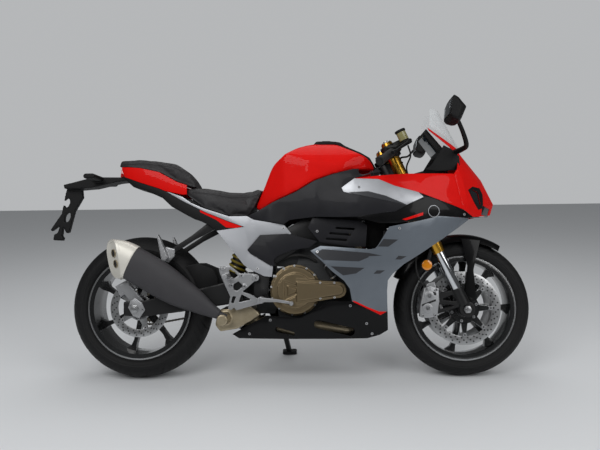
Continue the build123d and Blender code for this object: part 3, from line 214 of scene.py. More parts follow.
for node, name in nodeFinish.items():
    dress(frame["nodes"][node].data, name)
print("finishes on the frame")


weld = {
    "piece": 2e-6, "node": 2e-5,  # m between points that count as one
    "flat": 0.5, "sharp": 32.0,  # degrees: below the first an edge is dissolved, above the second rounded
}
rounding = {"segments": 2, "profile": 0.6, "affect": "EDGES"}  # of bevelled edges


def linked(name, data):  # a new object in the scene
    item = bpy.data.objects.new(name, data)
    bpy.context.scene.collection.objects.link(item)
    return item


def meshOf(bm, name):  # hands the shape over to a new mesh
    mesh = bpy.data.meshes.new(name)
    bm.to_mesh(mesh)
    bm.free()
    return mesh


def nodeMesh(node):  # editable copy of a frame node's mesh
    bm = bmesh.new()
    bm.from_mesh(frame["nodes"][node].data)
    return bm


def smoothByAngle(bm, degrees):  # smooth shading, broken at sharper edges
    limit = math.radians(degrees)
    for face in bm.faces:
        face.smooth = True
    for edge in bm.edges:
        edge.smooth = len(edge.link_faces) == 2 and edge.calc_face_angle(0) < limit


def ridePiece(bm, name, finishName, body, sharp=35.0, matrix=park):  # finished piece from an upright mesh
    if matrix:
        bm.transform(matrix)
    bmesh.ops.remove_doubles(bm, verts=bm.verts, dist=weld["piece"])
    bmesh.ops.recalc_face_normals(bm, faces=bm.faces)
    smoothByAngle(bm, sharp)
    mesh = meshOf(bm, name)
    dress(mesh, finishName)
    piece = linked(name, mesh)
    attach(piece, body)
    return piece


def circle(steps, start=0.0):  # cosine and sine of evenly spaced angles
    angles = [start + 2 * math.pi * k / steps for k in range(steps)]
    return [(math.cos(angle), math.sin(angle)) for angle in angles]


def loft(bm, rings, looped=False):  # skin over rings of points: a closed loop of them, or capped at both ends
    made = [[bm.verts.new(point) for point in ring] for ring in rings]
    faces = []
    for low, high in zip(made, made[1:] + made[:1] if looped else made[1:]):
        for k in range(len(low)):
            j = (k + 1) % len(low)
            faces.append(bm.faces.new((low[k], low[j], high[j], high[k])))
    if not looped:
        faces += [bm.faces.new(list(reversed(made[0]))), bm.faces.new(made[-1])]
    return faces


def lathe(bm, at, profile, steps, axis=(0, 1, 0)):  # closed profile of (along, radius) about an axis
    turn = Vector(axis).to_track_quat("Z", "Y").to_matrix()
    loft(bm, [[Vector(at) + turn @ Vector((r * c, r * s, a)) for a, r in profile] for c, s in circle(steps)],
         looped=True)


def knob(bm, at, axis, profile, steps=24):  # solid of revolution: profile of (along, radius) from foot to top
    turn = Vector(axis).to_track_quat("Z", "Y").to_matrix()
    loft(bm, [[Vector(at) + turn @ Vector((r * c, r * s, a)) for c, s in circle(steps)] for a, r in profile])


def prism(bm, outline, yFrom, yTo, bevel=0.0):  # side outline of (x, z) between two lateral places
    faces = loft(bm, [[(x, y, z) for x, z in outline] for y in (yTo, yFrom)])
    if bevel:
        edges = list(dict.fromkeys(edge for face in faces for edge in face.edges))
        bmesh.ops.bevel(bm, geom=edges, offset=bevel, **rounding)


def curved(rows, divisions):  # smooth steps through all rows but the outer two, which only steer the ends
    found = []
    for before, here, there, after in zip(rows, rows[1:], rows[2:], rows[3:]):
        for t in (k / divisions for k in range(divisions)):
            found.append([0.5 * (2 * b + (c - a) * t + (2 * a - 5 * b + 4 * c - d) * t * t
                                 + (3 * b - a - 3 * c + d) * t ** 3)
                          for a, b, c, d in zip(before, here, there, after)])
    return found + [rows[-2]]


def smoothPath(points, divisions=8):  # points along a curve that passes through every given point
    points = [Vector(p) for p in points]
    padded = [2 * points[0] - points[1]] + points + [2 * points[-1] - points[-2]]
    return [Vector(p) for p in curved(padded, divisions)]


def tube(bm, path, radii, steps=12):  # round tube along a path, with one radius or one at each point
    if not hasattr(radii, "__len__"):
        radii = [radii] * len(path)
    rings = []
    side = None
    for k, point in enumerate(path):
        ahead = (path[min(k + 1, len(path) - 1)] - path[max(k - 1, 0)]).normalized()
        side = (side - ahead * side.dot(ahead)).normalized() if side else ahead.orthogonal().normalized()
        up = ahead.cross(side)
        rings.append([point + (side * c + up * s) * radii[k] for c, s in circle(steps)])
    loft(bm, rings)


def bothSides(bm):  # adds the mirror image on the other side of the machine
    copy = bmesh.ops.duplicate(bm, geom=bm.verts[:] + bm.edges[:] + bm.faces[:])["geom"]
    for vert in (item for item in copy if isinstance(item, bmesh.types.BMVert)):
        vert.co.y = -vert.co.y
    bmesh.ops.reverse_faces(bm, faces=[item for item in copy if isinstance(item, bmesh.types.BMFace)])


def build(name, finishName, body, parts, mirrored=False, sharp=35.0):  # parts are (maker, its values)
    bm = bmesh.new()
    for maker, *values in parts:
        maker(bm, *values)
    if mirrored:
        bothSides(bm)
    return ridePiece(bm, name, finishName, body, sharp)


def onFlank(points, side):  # a route given for the left, on either flank
    return [(x, side * y, z) for x, y, z in points]


nodeTrees = {}  # search trees of the nodes' surfaces in upright mm


def surfaceAt(node, x, z, side=right):  # outer point of a node seen from the side, and where it faces
    if node not in nodeTrees:
        bm = nodeMesh(node)
        bm.transform(unpark)
        nodeTrees[node] = BVHTree.FromBMesh(bm)
        bm.free()
    start = Vector((x, side * machine["outside"], z))
    point, normal, _, _ = nodeTrees[node].ray_cast(start, Vector((0, -side, 0)))
    assert point, f"{node} has nothing at {x}, {z}"
    return point, normal if normal.y * side > 0 else -normal




def refined(node, bevel):  # the node's own form with its edges rounded as pressed or moulded ones are
    bm = nodeMesh(node)
    bmesh.ops.remove_doubles(bm, verts=bm.verts, dist=weld["node"])
    bmesh.ops.dissolve_limit(bm, angle_limit=math.radians(weld["flat"]), verts=bm.verts, edges=bm.edges)
    bmesh.ops.recalc_face_normals(bm, faces=bm.faces)
    hard = math.radians(weld["sharp"])
    edges = [e for e in bm.edges if len(e.link_faces) == 2 and e.calc_face_angle(0) > hard]
    bmesh.ops.bevel(bm, geom=edges, offset=bevel / 1000, clamp_overlap=True, harden_normals=False, **rounding)
    bmesh.ops.triangulate(bm, faces=[f for f in bm.faces if len(f.verts) > 4])
    piece = ridePiece(bm, node + ".refined", nodeFinish[node], bodyOf[node], weld["sharp"], matrix=None)
    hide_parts(node)


def newTree(name, sockets):  # Geometry Nodes tree with its inputs
    tree = bpy.data.node_groups.new(name, "GeometryNodeTree")
    for label, kind in {"Geometry": "Geometry", **sockets}.items():
        tree.interface.new_socket(label, in_out="INPUT", socket_type="NodeSocket" + kind)
    tree.interface.new_socket("Geometry", in_out="OUTPUT", socket_type="NodeSocketGeometry")
    return tree, tree.nodes.new("NodeGroupInput").outputs


def attribute(tree, name):  # a vector stored on each point
    return addNode(tree, "GeometryNodeInputNamedAttribute",
                   {"data_type": "FLOAT_VECTOR", "Name": name}).outputs["Attribute"]


def product(tree, value, factor):  # the factor is a number or another output
    links = {0: value}
    settings = {"operation": "MULTIPLY"}
    (settings if isinstance(factor, float) else links)[1] = factor
    return addNode(tree, "ShaderNodeMath", settings, links).outputs[0]


def growOnPoints(tree, inputs, shapes, rotation):  # shapes are (geometry, label of its material input)
    joined = tree.nodes.new("GeometryNodeJoinGeometry")
    for geometry, label in shapes:
        placed = addNode(tree, "GeometryNodeInstanceOnPoints", {},
                         {"Points": inputs["Geometry"], "Instance": geometry, "Rotation": rotation})
        real = addNode(tree, "GeometryNodeRealizeInstances", {}, {"Geometry": placed.outputs["Instances"]})
        coloured = addNode(tree, "GeometryNodeSetMaterial", {},
                           {"Geometry": real.outputs["Geometry"], "Material": inputs[label]})
        tree.links.new(coloured.outputs["Geometry"], joined.inputs["Geometry"])
    addNode(tree, "NodeGroupOutput", {}, {"Geometry": joined.outputs["Geometry"]})


def makeScrewTree(taper=0.82, proud=1.03):  # a head with a hexagon socket on each point, along its aim; the socket is a solid hexagon just taller than the head, painted as shade
    tree, inputs = newTree("screwHeads", {"Radius": "Float", "Height": "Float", "Sides": "Int",
                                          "Socket": "Float", "Head finish": "Material",
                                          "Socket finish": "Material"})
    turned = addNode(tree, "FunctionNodeAlignEulerToVector", {"axis": "Z"},
                     {"Vector": attribute(tree, "aim")})
    head = addNode(tree, "GeometryNodeMeshCone", {},
                   {"Vertices": inputs["Sides"], "Radius Bottom": inputs["Radius"], "Depth": inputs["Height"],
                    "Radius Top": product(tree, inputs["Radius"], taper)})
    width = product(tree, inputs["Radius"], inputs["Socket"])
    socket = addNode(tree, "GeometryNodeMeshCone", {"Vertices": 6},
                     {"Radius Bottom": width, "Radius Top": width,
                      "Depth": product(tree, inputs["Height"], proud)})
    shapes = [(head.outputs["Mesh"], "Head finish"), (socket.outputs["Mesh"], "Socket finish")]
    growOnPoints(tree, inputs, shapes, turned.outputs["Rotation"])
    return tree


def makeCopyTree():  # a small object on each point, along its aim and turned to its spin
    tree, inputs = newTree("copiesOnPoints", {"Shape": "Object", "Finish": "Material"})
    turned = addNode(tree, "FunctionNodeAlignEulerToVector", {"axis": "Z"},
                     {"Vector": attribute(tree, "aim")})
    twisted = addNode(tree, "FunctionNodeAlignEulerToVector", {"axis": "X", "pivot_axis": "Z"},
                      {"Rotation": turned.outputs["Rotation"], "Vector": attribute(tree, "spin")})
    shape = addNode(tree, "GeometryNodeObjectInfo", {"transform_space": "ORIGINAL"},
                    {"Object": inputs["Shape"]})
    growOnPoints(tree, inputs, [(shape.outputs["Geometry"], "Finish")], twisted.outputs["Rotation"])
    return tree


screwTree = makeScrewTree()
copyTree = makeCopyTree()


def baked(piece, keepLayers=False):  # applies the modifiers
    graph = bpy.context.evaluated_depsgraph_get()
    mesh = bpy.data.meshes.new_from_object(piece.evaluated_get(graph), preserve_all_data_layers=keepLayers,
                                           depsgraph=graph)
    piece.modifiers.clear()
    piece.data = mesh


def shaded(piece, sharp):  # the same shading on a finished mesh
    bm = bmesh.new()
    bm.from_mesh(piece.data)
    smoothByAngle(bm, sharp)
    bm.to_mesh(piece.data)
    bm.free()


def grown(name, spots, tree, values, body, sharp=30.0):  # spots are (point, aim) or (point, aim, spin)
    mesh = bpy.data.meshes.new(name)
    mesh.from_pydata([park @ spot[0] for spot in spots], [], [])
    turn = park.to_3x3()
    for label, index in (("aim", 1), ("spin", 2)):
        if len(spots[0]) > index:
            layer = mesh.attributes.new(label, "FLOAT_VECTOR", "POINT")
            layer.data.foreach_set("vector", [c for spot in spots for c in (turn @ spot[index]).normalized()])
    piece = linked(name, mesh)
    modifier = piece.modifiers.new("grow", "NODES")
    modifier.node_group = tree
    for item in tree.interface.items_tree:
        if item.in_out == "INPUT" and item.name in values:
            modifier[item.identifier] = values[item.name]
    baked(piece, True)
    shaded(piece, sharp)
    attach(piece, body)
    return piece


# the sockets wear the painted recess shade: a near-black hexagon at the head's top in place of the shade in a
# hollow socket
def screws(name, spots, radius, height, body, head="boltSteel", sides=20, socket=0.52):
    grown(name, spots, screwTree, {"Radius": radius / 1000, "Height": height / 1000, "Sides": sides,
                                   "Socket": socket, "Head finish": finishes[head],
                                   "Socket finish": finishes["paintedRecessShade"]}, body)


def copies(name, shape, spots, finishName, body):  # the shape is in mm about its origin, with z along the aim
    bmesh.ops.scale(shape, vec=(0.001, 0.001, 0.001), verts=shape.verts)
    bmesh.ops.recalc_face_normals(shape, faces=shape.faces)
    pattern = bpy.data.objects.new(name + ".shape", meshOf(shape, name + ".shape"))
    piece = grown(name, spots, copyTree, {"Shape": pattern, "Finish": finishes[finishName]}, body)
    bpy.data.objects.remove(pattern)
    return piece


def ringSpots(axle, radius, count, face, side, start=0.0):  # on a circle about an axle, aimed out to a side
    return [(axle + Vector((radius * c, side * face, radius * s)), Vector((0, side, 0)))
            for c, s in circle(count, start)]


def flankSpots(places, face):  # the same places on both flanks, aimed outwards
    return [(Vector((x, side * face, z)), Vector((0, side, 0))) for side in flanks for x, z in places]


softEdges = {  # pressed and moulded shells and turned parts: edge radius in mm
    "tank_panels": 1.6, "scoop_panels": 1.6, "upper_fairings": 1.6, "nose_cowl": 1.6, "band_panels": 1.4,
    "lower_fairings": 1.6, "belly_pan": 1.6, "side_covers": 1.6, "knee_covers": 1.6, "tail_cowl": 1.4,
    "tail_underside": 1.2, "vent_covers": 1.2, "windscreen": 0.6, "headlamps": 1.5, "radiator": 1.5,
    "engine_case": 4.0, "handlebars": 1.2, "main_frame": 3.0, "subframe": 2.0, "side_stand": 1.5,
    "front_fender": 1.2, "rear_hugger": 2.0, "rear_rim": 2.0, "front_rim": 2.0, "rear_disc": 0.5,
    "front_discs": 0.5, "rear_sprocket": 0.5, "tail_lamp": 2.0, "grips": 1.0,
    "fork_tubes": 0.8, "stanchions": 0.8, "rear_axle": 1.0, "front_axle": 1.0, "rear_shock": 1.5,
}
castForms = {  # solid castings and mouldings: grid in mm and rounds of smoothing
    "fuel_tank": (6.0, 22), "tank_cover": (3.5, 5), "exhaust_pipes": (4.0, 5), "passenger_pegs": (2.5, 4),
    "controls": (2.5, 3), "front_calipers": (2.5, 4), "rear_caliper": (2.5, 4), "fork_feet": (2.5, 3),
    "clutch_cover": (2.5, 2), "generator_cover": (3.0, 5), "instrument_panel": (3.0, 5),
    "plate_carrier": (3.0, 3), "yokes": (3.0, 3), "swingarm": (4.0, 3),
}


def evened(piece, grid, rounds):  # puts a solid on an even grid and wears its edges round
    even = piece.modifiers.new("even", "REMESH")
    even.mode = "VOXEL"
    even.voxel_size = grid / 1000
    soften = piece.modifiers.new("soften", "SMOOTH")
    soften.iterations = rounds
    baked(piece)


def castPiece(bm, name, grid, rounds, finishName, body, sharp=40.0):  # worn-edged piece from a plain one
    piece = linked(name, meshOf(bm, name + ".rough"))
    evened(piece, grid, rounds)
    shaded(piece, sharp)
    dress(piece.data, finishName)
    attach(piece, body)
    return piece


for node, width in softEdges.items():
    refined(node, width)
for node, (grid, rounds) in castForms.items():
    piece = castPiece(nodeMesh(node), node + ".cast", grid, rounds, nodeFinish[node], bodyOf[node])
    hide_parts(node)
print("edges rounded")

tread = {
    "steps": 520, "repeats": 26, "depth": 4.0,  # steps and repeats in a turn, depth in mm
    "from": 0.1, "to": 0.93, "sweep": 0.55, "curl": 0.5, "offset": 0.5,  # shares of half the crown's width
    "width": 0.06, "taper": 1.15, "shortFrom": 0.45, "shortWidth": 0.03, "shortDepth": 0.8,
    "crownSteps": 46, "crownAngle": 82, "wallSteps": 14, "bulge": 1.7, "inset": 1.5,
    "ridge": 0.9, "ridgesAt": (4, 10), "toe": ((1, 6), (9, 9)),  # fine rings, and how the bead tucks in
}
tyres = {  # node, axle, radius, half width, fall of the crown, half width and radius at the rim, body
    "rearTyre": ("rear_tyre", rearAxle, 314.6, 89.6, 56, 71, 232, "rear_wheel"),
    "frontTyre": ("front_tyre", frontAxle, 299.6, 59.6, 40, 48, 232, "front_wheel"),
}


def groove(phase, width):  # share of the full depth near a groove's middle
    distance = min(phase, 1 - phase)
    return 1 - (distance / width) ** 4 if distance < width else 0


def treadDepth(turnShare, across):  # at a share of a turn and a share of half the crown's width
    depth = 0
    for side, offset in ((left, 0.0), (right, tread["offset"])):
        place = across * side
        if tread["from"] < place < tread["to"]:
            swept = tread["sweep"] * place + tread["curl"] * place * place
            phase = (turnShare * tread["repeats"] - swept + offset) % 1
            depth = max(depth, groove(phase, tread["width"] * (tread["taper"] - place)))
            if place > tread["shortFrom"]:
                depth = max(depth, tread["shortDepth"] * groove((phase + 0.5) % 1, tread["shortWidth"]))
    return depth


def tyreOutline(radius, half, fall, beadHalf, rimRadius):  # (y, radius, share across; None off the crown)
    widest = math.radians(tread["crownAngle"])
    crown = []
    for k in range(tread["crownSteps"] + 1):
        across = -1 + 2 * k / tread["crownSteps"]
        angle = across * widest
        crown.append((half * math.sin(angle) / math.sin(widest),
                      radius - fall * (1 - math.cos(angle)) / (1 - math.cos(widest)), across))
    top = radius - fall
    wall = []
    for k in range(1, tread["wallSteps"] + 1):
        share = k / tread["wallSteps"]
        ridge = tread["ridge"] if k in tread["ridgesAt"] else 0
        wall.append((half - tread["inset"] + (beadHalf + 2 - half) * share ** tread["bulge"] + ridge,
                     top + (rimRadius + 2 - top) * share, None))
    wall += [(beadHalf - inwards, rimRadius - down, None) for inwards, down in tread["toe"]]
    return [(-y, r, across) for y, r, across in reversed(wall)] + crown + wall


for name, (node, axle, *sizes, body) in tyres.items():
    outline = tyreOutline(*sizes)
    rings = []
    for k, (c, s) in enumerate(circle(tread["steps"])):
        depths = [0 if across is None else tread["depth"] * treadDepth(k / tread["steps"], across)
                  for y, r, across in outline]
        rings.append([axle + Vector(((r - depth) * c, y, (r - depth) * s))
                      for (y, r, across), depth in zip(outline, depths)])
    bm = bmesh.new()
    loft(bm, rings, looped=True)
    piece = ridePiece(bm, name, "tyreRubber", body, sharp=48)
    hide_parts(node)
print("tyres made")

rimTrim = {  # turned lips and the valve, as profiles of (along, radius) in mm
    "lip": [(-1.2, 222.5), (0.8, 223.5), (0.8, 228), (-1.2, 229.2)], "proud": 0.2,
    "valveAt": Vector((0, 0, 204)), "valveAim": (0, -0.35, -1),
    "valve": [(0, 6), (10, 5.5), (12, 3.4), (34, 3.4), (35, 4.2), (46, 4.2), (48, 3.4)],
}
wheels = {"rearWheel": (rearAxle, 76, "rear_wheel"), "frontWheel": (frontAxle, 53, "front_wheel")}
for name, (axle, flangeHalf, body) in wheels.items():
    lips = [(lathe, axle + Vector((0, side * (flangeHalf + rimTrim["proud"]), 0)), rimTrim["lip"], 160)
            for side in flanks]
    build(name + "Lips", "machinedLip", body, lips, sharp=25)
    build(name + "Valve", "mouldedBlack", body,
          [(knob, axle + rimTrim["valveAt"], rimTrim["valveAim"], rimTrim["valve"], 16)])

# drilled holes drawn as thin near-black discs on the disc's face: painted shade in place of open holes
discHoles = {  # axle, lateral place of the outer face, side, radii of the rows, holes in a row, their radius
    "rearDiscHoles": (rearAxle, 75.1, right, (104, 113, 122), 24, 3.4, "rear_wheel"),
    "frontDiscHolesRight": (frontAxle, 62.1, right, (129, 139, 149), 30, 3.6, "front_wheel"),
    "frontDiscHolesLeft": (frontAxle, 62.1, left, (129, 139, 149), 30, 3.6, "front_wheel"),
}
rowShift = math.radians(4.5)
for name, (axle, face, side, radii, count, holeRadius, body) in discHoles.items():
    spots = [spot for row, radius in enumerate(radii)
             for spot in ringSpots(axle, radius, count, face, side, row * rowShift)]
    screws(name, spots, holeRadius, height=0.5, body=body, head="paintedRecessShade", sides=14, socket=0.8)

wheelScrews = {  # axle, circle, count, face, sides, start, radius, height, body, how they differ
    "frontBobbins": (frontAxle, 116, 8, 62.5, flanks, 0, 9.5, 4.5, "front_wheel",
                     dict(head="silverCaliper", socket=0.45)),
    "rearBobbins": (rearAxle, 92, 5, 75.5, (right,), 0, 8, 3, "rear_wheel", {}),
    "frontCarrierBolts": (frontAxle, 56, 6, 62.8, flanks, 0.3, 6.5, 5, "front_wheel", {}),
    "rearCarrierBolts": (rearAxle, 50, 6, 76.0, (right,), 0.3, 6.5, 5, "rear_wheel", {}),
    "sprocketBolts": (rearAxle, 38, 6, 104.5, (left,), 0.3, 7, 6, "rear_wheel", dict(sides=6, socket=0.2)),
}
for name, (axle, radius, count, face, where, start, size, height, body, more) in wheelScrews.items():
    spots = [spot for side in where for spot in ringSpots(axle, radius, count, face, side, start)]
    screws(name, spots, size, height, body, **more)

carrier = {  # thin black spider over each front disc's middle
    "faces": (61.8, 62.4), "ring": (38.5, 67.5, 67, 39),
    "arms": 8, "arm": [(62, -14), (107, -8.2), (107, 8.2), (62, 14)],
}


def carrierParts(side):
    near, far = (side * y for y in carrier["faces"])
    ring = list(zip((near, near, far, far), carrier["ring"]))
    arms = []
    for c, s in circle(carrier["arms"]):
        arms.append([[frontAxle + Vector((c * r - s * w, y, s * r + c * w)) for r, w in carrier["arm"]]
                     for y in (near, far)])
    return [(lathe, frontAxle, ring, 96)] + [(loft, arm) for arm in arms]


build("discCarriers", "rimBlack", "front_wheel", carrierParts(right) + carrierParts(left))
print("wheels trimmed")

chain = {  # in mm
    "y": 101, "pitch": 15.875, "rearRadius": 92.5, "frontRadius": 39.5, "frontAt": (640, 0, 372),
    "outerReach": 4.6, "innerReach": 3.2,  # of a plate from the middle of the chain
    "outerPlate": (3.6, 5.2, 1.3), "innerPlate": (3.8, 5.4, 1.3),  # waist, end radius, thickness
    "endAngle": 70, "endSteps": 7,  # half the angle of a plate's round end, in degrees
    "roller": [(-5.4, 2), (-5.4, 2.2), (-2.4, 2.2), (-2.4, 4.6), (2.4, 4.6), (2.4, 2.2), (5.4, 2.2)],
}


def outOf(angle):  # direction in the side view
    return Vector((math.cos(angle), 0, math.sin(angle)))


def chainPath():  # points a pitch apart round both sprockets, each with its heading
    rear, front = rearAxle, Vector(chain["frontAt"])
    line = front - rear
    step = chain["rearRadius"] - chain["frontRadius"]
    base, dip = math.atan2(line.z, line.x), math.asin(step / line.length)
    run = math.sqrt(line.length ** 2 - step ** 2)
    top, low = base + math.pi / 2 - dip, base - math.pi / 2 + dip  # where the straight runs leave a sprocket
    parts = [("line", rear, top, chain["rearRadius"], run, top - math.pi / 2),
             ("arc", front, top, chain["frontRadius"], chain["frontRadius"] * (top - low), 0),
             ("line", front, low, chain["frontRadius"], run, low - math.pi / 2),
             ("arc", rear, low, chain["rearRadius"], chain["rearRadius"] * (2 * math.pi - (top - low)), 0)]
    total = sum(part[4] for part in parts)
    links = 2 * round(total / chain["pitch"] / 2)  # an even number, half of them outer
    spots = []
    for k in range(links):
        along = k * total / links
        for kind, at, normal, radius, length, heading in parts:
            if along <= length:
                break
            along -= length
        if kind == "line":
            spots.append((at + radius * outOf(normal) + outOf(heading) * along, outOf(heading)))
        else:
            angle = normal - along / radius
            spots.append((at + radius * outOf(angle), Vector((math.sin(angle), 0, -math.cos(angle)))))
    return spots, total / links


def linkPlate(pitch, waist, end, thick):  # waisted plate between two pins, lying in its own xy plane
    outline = []
    half, steps = chain["endAngle"], chain["endSteps"]
    for centre, start, middle in ((pitch / 2, -half, waist), (-pitch / 2, 180 - half, -waist)):
        for k in range(steps + 1):
            angle = math.radians(start + 2 * half * k / steps)
            outline.append((centre + end * math.cos(angle), end * math.sin(angle)))
        outline.append((0, middle))
    bm = bmesh.new()
    loft(bm, [[(x, y, z) for x, y in outline] for z in (-thick / 2, thick / 2)])
    return bm


def makeChain():
    path, pitch = chainPath()
    sideways, middleY = Vector((0, 1, 0)), Vector((0, chain["y"], 0))
    plates = {"outer": [], "inner": []}
    for k, (point, _) in enumerate(path):
        following = path[(k + 1) % len(path)][0]
        kind = "outer" if k % 2 else "inner"
        for side in (left, right):
            plates[kind].append(((point + following) / 2 + middleY + sideways * side * chain[kind + "Reach"],
                                 sideways, (following - point).normalized()))
    for kind, spots in plates.items():
        plate = linkPlate(pitch, *chain[kind + "Plate"])
        copies(f"chain{kind.title()}Plates", plate, spots, "chainSteel", "chassis")
    roller = bmesh.new()
    knob(roller, (0, 0, 0), (0, 0, 1), chain["roller"], 14)
    pins = [(point + middleY, sideways, heading) for point, heading in path]
    piece = copies("chainRollers", roller, pins, "chainSteel", "chassis")
    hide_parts("drive_chain")


makeChain()
print("chain made")

cushion = {  # grid in mm, rounds of smoothing, frames of cloth, slope up to which the underside stays
    "grid": 5.0, "rounds": 7, "frames": 20, "flat": 0.5,
    "cloth": {"quality": 4, "mass": 0.3, "tension_stiffness": 12, "compression_stiffness": 12,
              "bending_stiffness": 0.4, "use_pressure": True, "uniform_pressure_force": 4},
}
seam = {  # in mm: the welt wire and the stitches under it
    "reach": 300, "wire": 1.7, "divisions": 10, "stitchBelow": 5, "lift": 0.2,
    "along": Vector((1, 0, 0.05)), "stitch": [(0, 0.3), (0.6, 0.8), (3.8, 0.8), (4.4, 0.3)],
    "stitchFrom": (-2.2, 0, 0), "stitchAim": (1, 0, 0),
}
seats = {  # node, most that the cloth moves in m, how full it is, crown line (x, z), the welt's drop below
    "riderSeat": ("rider_seat", 0.007, 0.7,
                  [(225, 838), (300, 833), (407, 815), (460, 815), (503, 820), (535, 833)], 17),
    "passengerSeat": ("passenger_seat", 0.006, 0.75,
                      [(-92, 968), (0, 971), (80, 962), (165, 946), (196, 924)], 13),
}


def settle(piece, cap):  # short cloth run with air inside
    start = [v.co.copy() for v in piece.data.vertices]
    facing = [v.normal.copy() for v in piece.data.vertices]
    cloth = piece.modifiers.new("air", "CLOTH")
    for name, value in cushion["cloth"].items():
        setattr(cloth.settings, name, value)
    cloth.settings.effector_weights.gravity = 0
    cloth.point_cache.frame_start = 1
    cloth.point_cache.frame_end = cushion["frames"]
    scene = bpy.context.scene
    for frameNumber in range(1, cushion["frames"] + 1):
        scene.frame_set(frameNumber)
    blown = piece.evaluated_get(bpy.context.evaluated_depsgraph_get())
    ends = [v.co.copy() for v in blown.to_mesh().vertices]
    blown.to_mesh_clear()
    piece.modifiers.clear()
    scene.frame_set(1)
    for vert, before, after, normal in zip(piece.data.vertices, start, ends, facing):
        move = after - before
        move.length = min(move.length, cap) if move.length else 0
        vert.co = before + move * min(1, max(0, (normal.z + cushion["flat"]) / cushion["flat"]))


def paddedSeat(name, node, cap):  # crowned vinyl cushion in the place of its plain solid
    bm = nodeMesh(node)
    bmesh.ops.remove_doubles(bm, verts=bm.verts, dist=weld["node"])
    bmesh.ops.recalc_face_normals(bm, faces=bm.faces)
    piece = linked(name, meshOf(bm, name))
    evened(piece, cushion["grid"], cushion["rounds"])
    settle(piece, cap)
    rounder = piece.modifiers.new("rounder", "SUBSURF")
    rounder.levels = rounder.render_levels = 1
    baked(piece)
    for polygon in piece.data.polygons:
        polygon.use_smooth = True
    dress(piece.data, "seatVinyl")
    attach(piece, "chassis")
    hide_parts(node)
    return piece


def seatSeam(name, piece, crown, drop):  # welt with a row of stitches along both flanks
    bm = bmesh.new()
    bm.from_mesh(piece.data)
    bm.transform(unpark)
    surface = BVHTree.FromBMesh(bm)
    bm.free()
    welts = []
    stitches = []
    for side in flanks:
        found = []
        for point in smoothPath([(x, 0, z - drop) for x, z in crown], seam["divisions"]):
            start, inwards = Vector((point.x, side * seam["reach"], point.z)), Vector((0, -side, 0))
            hit = surface.ray_cast(start, inwards)[0]
            if hit:
                found.append(hit)
                below, aim, _, _ = surface.ray_cast(start - Vector((0, 0, seam["stitchBelow"])), inwards)
                if below:
                    out = aim if aim.y * side > 0 else -aim
                    stitches.append((below + aim * seam["lift"], out, seam["along"]))
        welts.append((tube, found, seam["wire"], 8))
    build(name + "Welt", "seatVinyl", "chassis", welts)
    stitch = bmesh.new()
    knob(stitch, seam["stitchFrom"], seam["stitchAim"], seam["stitch"], 6)
    copies(name + "Stitches", stitch, stitches, "seamThread", "chassis")


for name, (node, cap, fill, crown, drop) in seats.items():
    piece = paddedSeat(name, node, cap)
    seatSeam(name, piece, crown, drop)
print("seats padded")

inlaid = {"lift": 0.35, "thick": 0.3, "doubles": 0.02, "outward": 0.12}  # mm, least slope of an outer face
topStripe = [[(779, 546), (811, 563), (1003, 545), (1003, 527), (962, 510), (814, 517)]]
middleStripe = [[(845, 491), (985, 483), (950, 460), (896, 452)]]
upperStripe = [[(1065, 602), (1127, 599), (1085, 570), (1042, 571)]]
stripes = {  # node, finish, sides, convex side outlines
    "stripeTop": ("lower_fairings", "stripeCharcoal", (right,),
                  topStripe + [[(1003, 545), (1058, 533), (1003, 531)]]),
    "stripeMiddle": ("lower_fairings", "stripeCharcoal", (right,), middleStripe),
    "stripeUpper": ("lower_fairings", "stripeCharcoal", (right,), upperStripe),
    "stripeShort": ("lower_fairings", "stripeCharcoal", (right,), [
        [(1036, 472), (1071, 472), (1050, 458), (1022, 458)],
        [(1127, 532), (1162, 529), (1137, 516), (1113, 517)]]),
    "stripesLeft": ("lower_fairings", "stripeCharcoal", (left,), topStripe + middleStripe + upperStripe),
    "redEdge": ("lower_fairings", "lacquerRed", flanks, [
        [(934, 347), (950, 342), (994, 320), (990, 305), (951, 326)],
        [(994, 320), (1046, 299), (1047, 279), (990, 305)],
        [(1046, 299), (1090, 297), (1090, 276), (1047, 279)]]),
    "scoopInsert": ("scoop_panels", "stripeCharcoal", flanks, [
        [(924, 801), (1006, 803), (1075, 783), (1163, 744), (1110, 720)],
        [(924, 801), (1110, 720), (1100, 725)]]),
    "bandRedFlash": ("band_panels", "lacquerRed", flanks, [
        [(1143, 683), (1233, 712), (1233, 700), (1160, 679)]]),
    "tailRedWedge": ("tail_underside", "lacquerRed", flanks, [
        [(279, 741), (359, 707), (352, 696), (279, 732)], [(359, 707), (400, 692), (394, 663), (352, 696)],
        [(400, 692), (472, 667), (436, 660), (394, 663)]]),
    "tailSilverLine": ("tail_underside", "satinSilverPaint", flanks, [
        [(279, 752), (359, 718), (359, 707), (279, 741)], [(359, 718), (498, 665), (472, 667), (359, 707)]]),
    "lampSurround": ("nose_cowl", "mouldedBlack", flanks, [
        [(1446, 814), (1474, 832), (1515, 828), (1527, 800), (1522, 738), (1497, 729), (1474, 758)]]),
}


def paintedArea(node, outline, side):  # a panel's outer face inside one outline, lifted off it
    bm = nodeMesh(node)
    bm.transform(unpark)
    bmesh.ops.remove_doubles(bm, verts=bm.verts, dist=inlaid["doubles"])
    bmesh.ops.recalc_face_normals(bm, faces=bm.faces)
    away = [face for face in bm.faces
            if face.normal.y * side < inlaid["outward"] or face.calc_center_median().y * side < 0]
    bmesh.ops.delete(bm, geom=away, context="FACES")
    corners = [Vector((x, 0, z)) for x, z in outline]
    centre = sum(corners, Vector()) / len(corners)
    for corner, following in zip(corners, corners[1:] + corners[:1]):
        normal = (following - corner).cross(Vector((0, 1, 0))).normalized()
        if normal.dot(centre - corner) > 0:
            normal = -normal
        bmesh.ops.bisect_plane(bm, geom=bm.verts[:] + bm.edges[:] + bm.faces[:], dist=1e-4,
                               plane_co=corner, plane_no=normal, clear_outer=True)
    bm.normal_update()
    for vert in bm.verts:
        vert.co += vert.normal * inlaid["lift"]
    return meshOf(bm, "area")


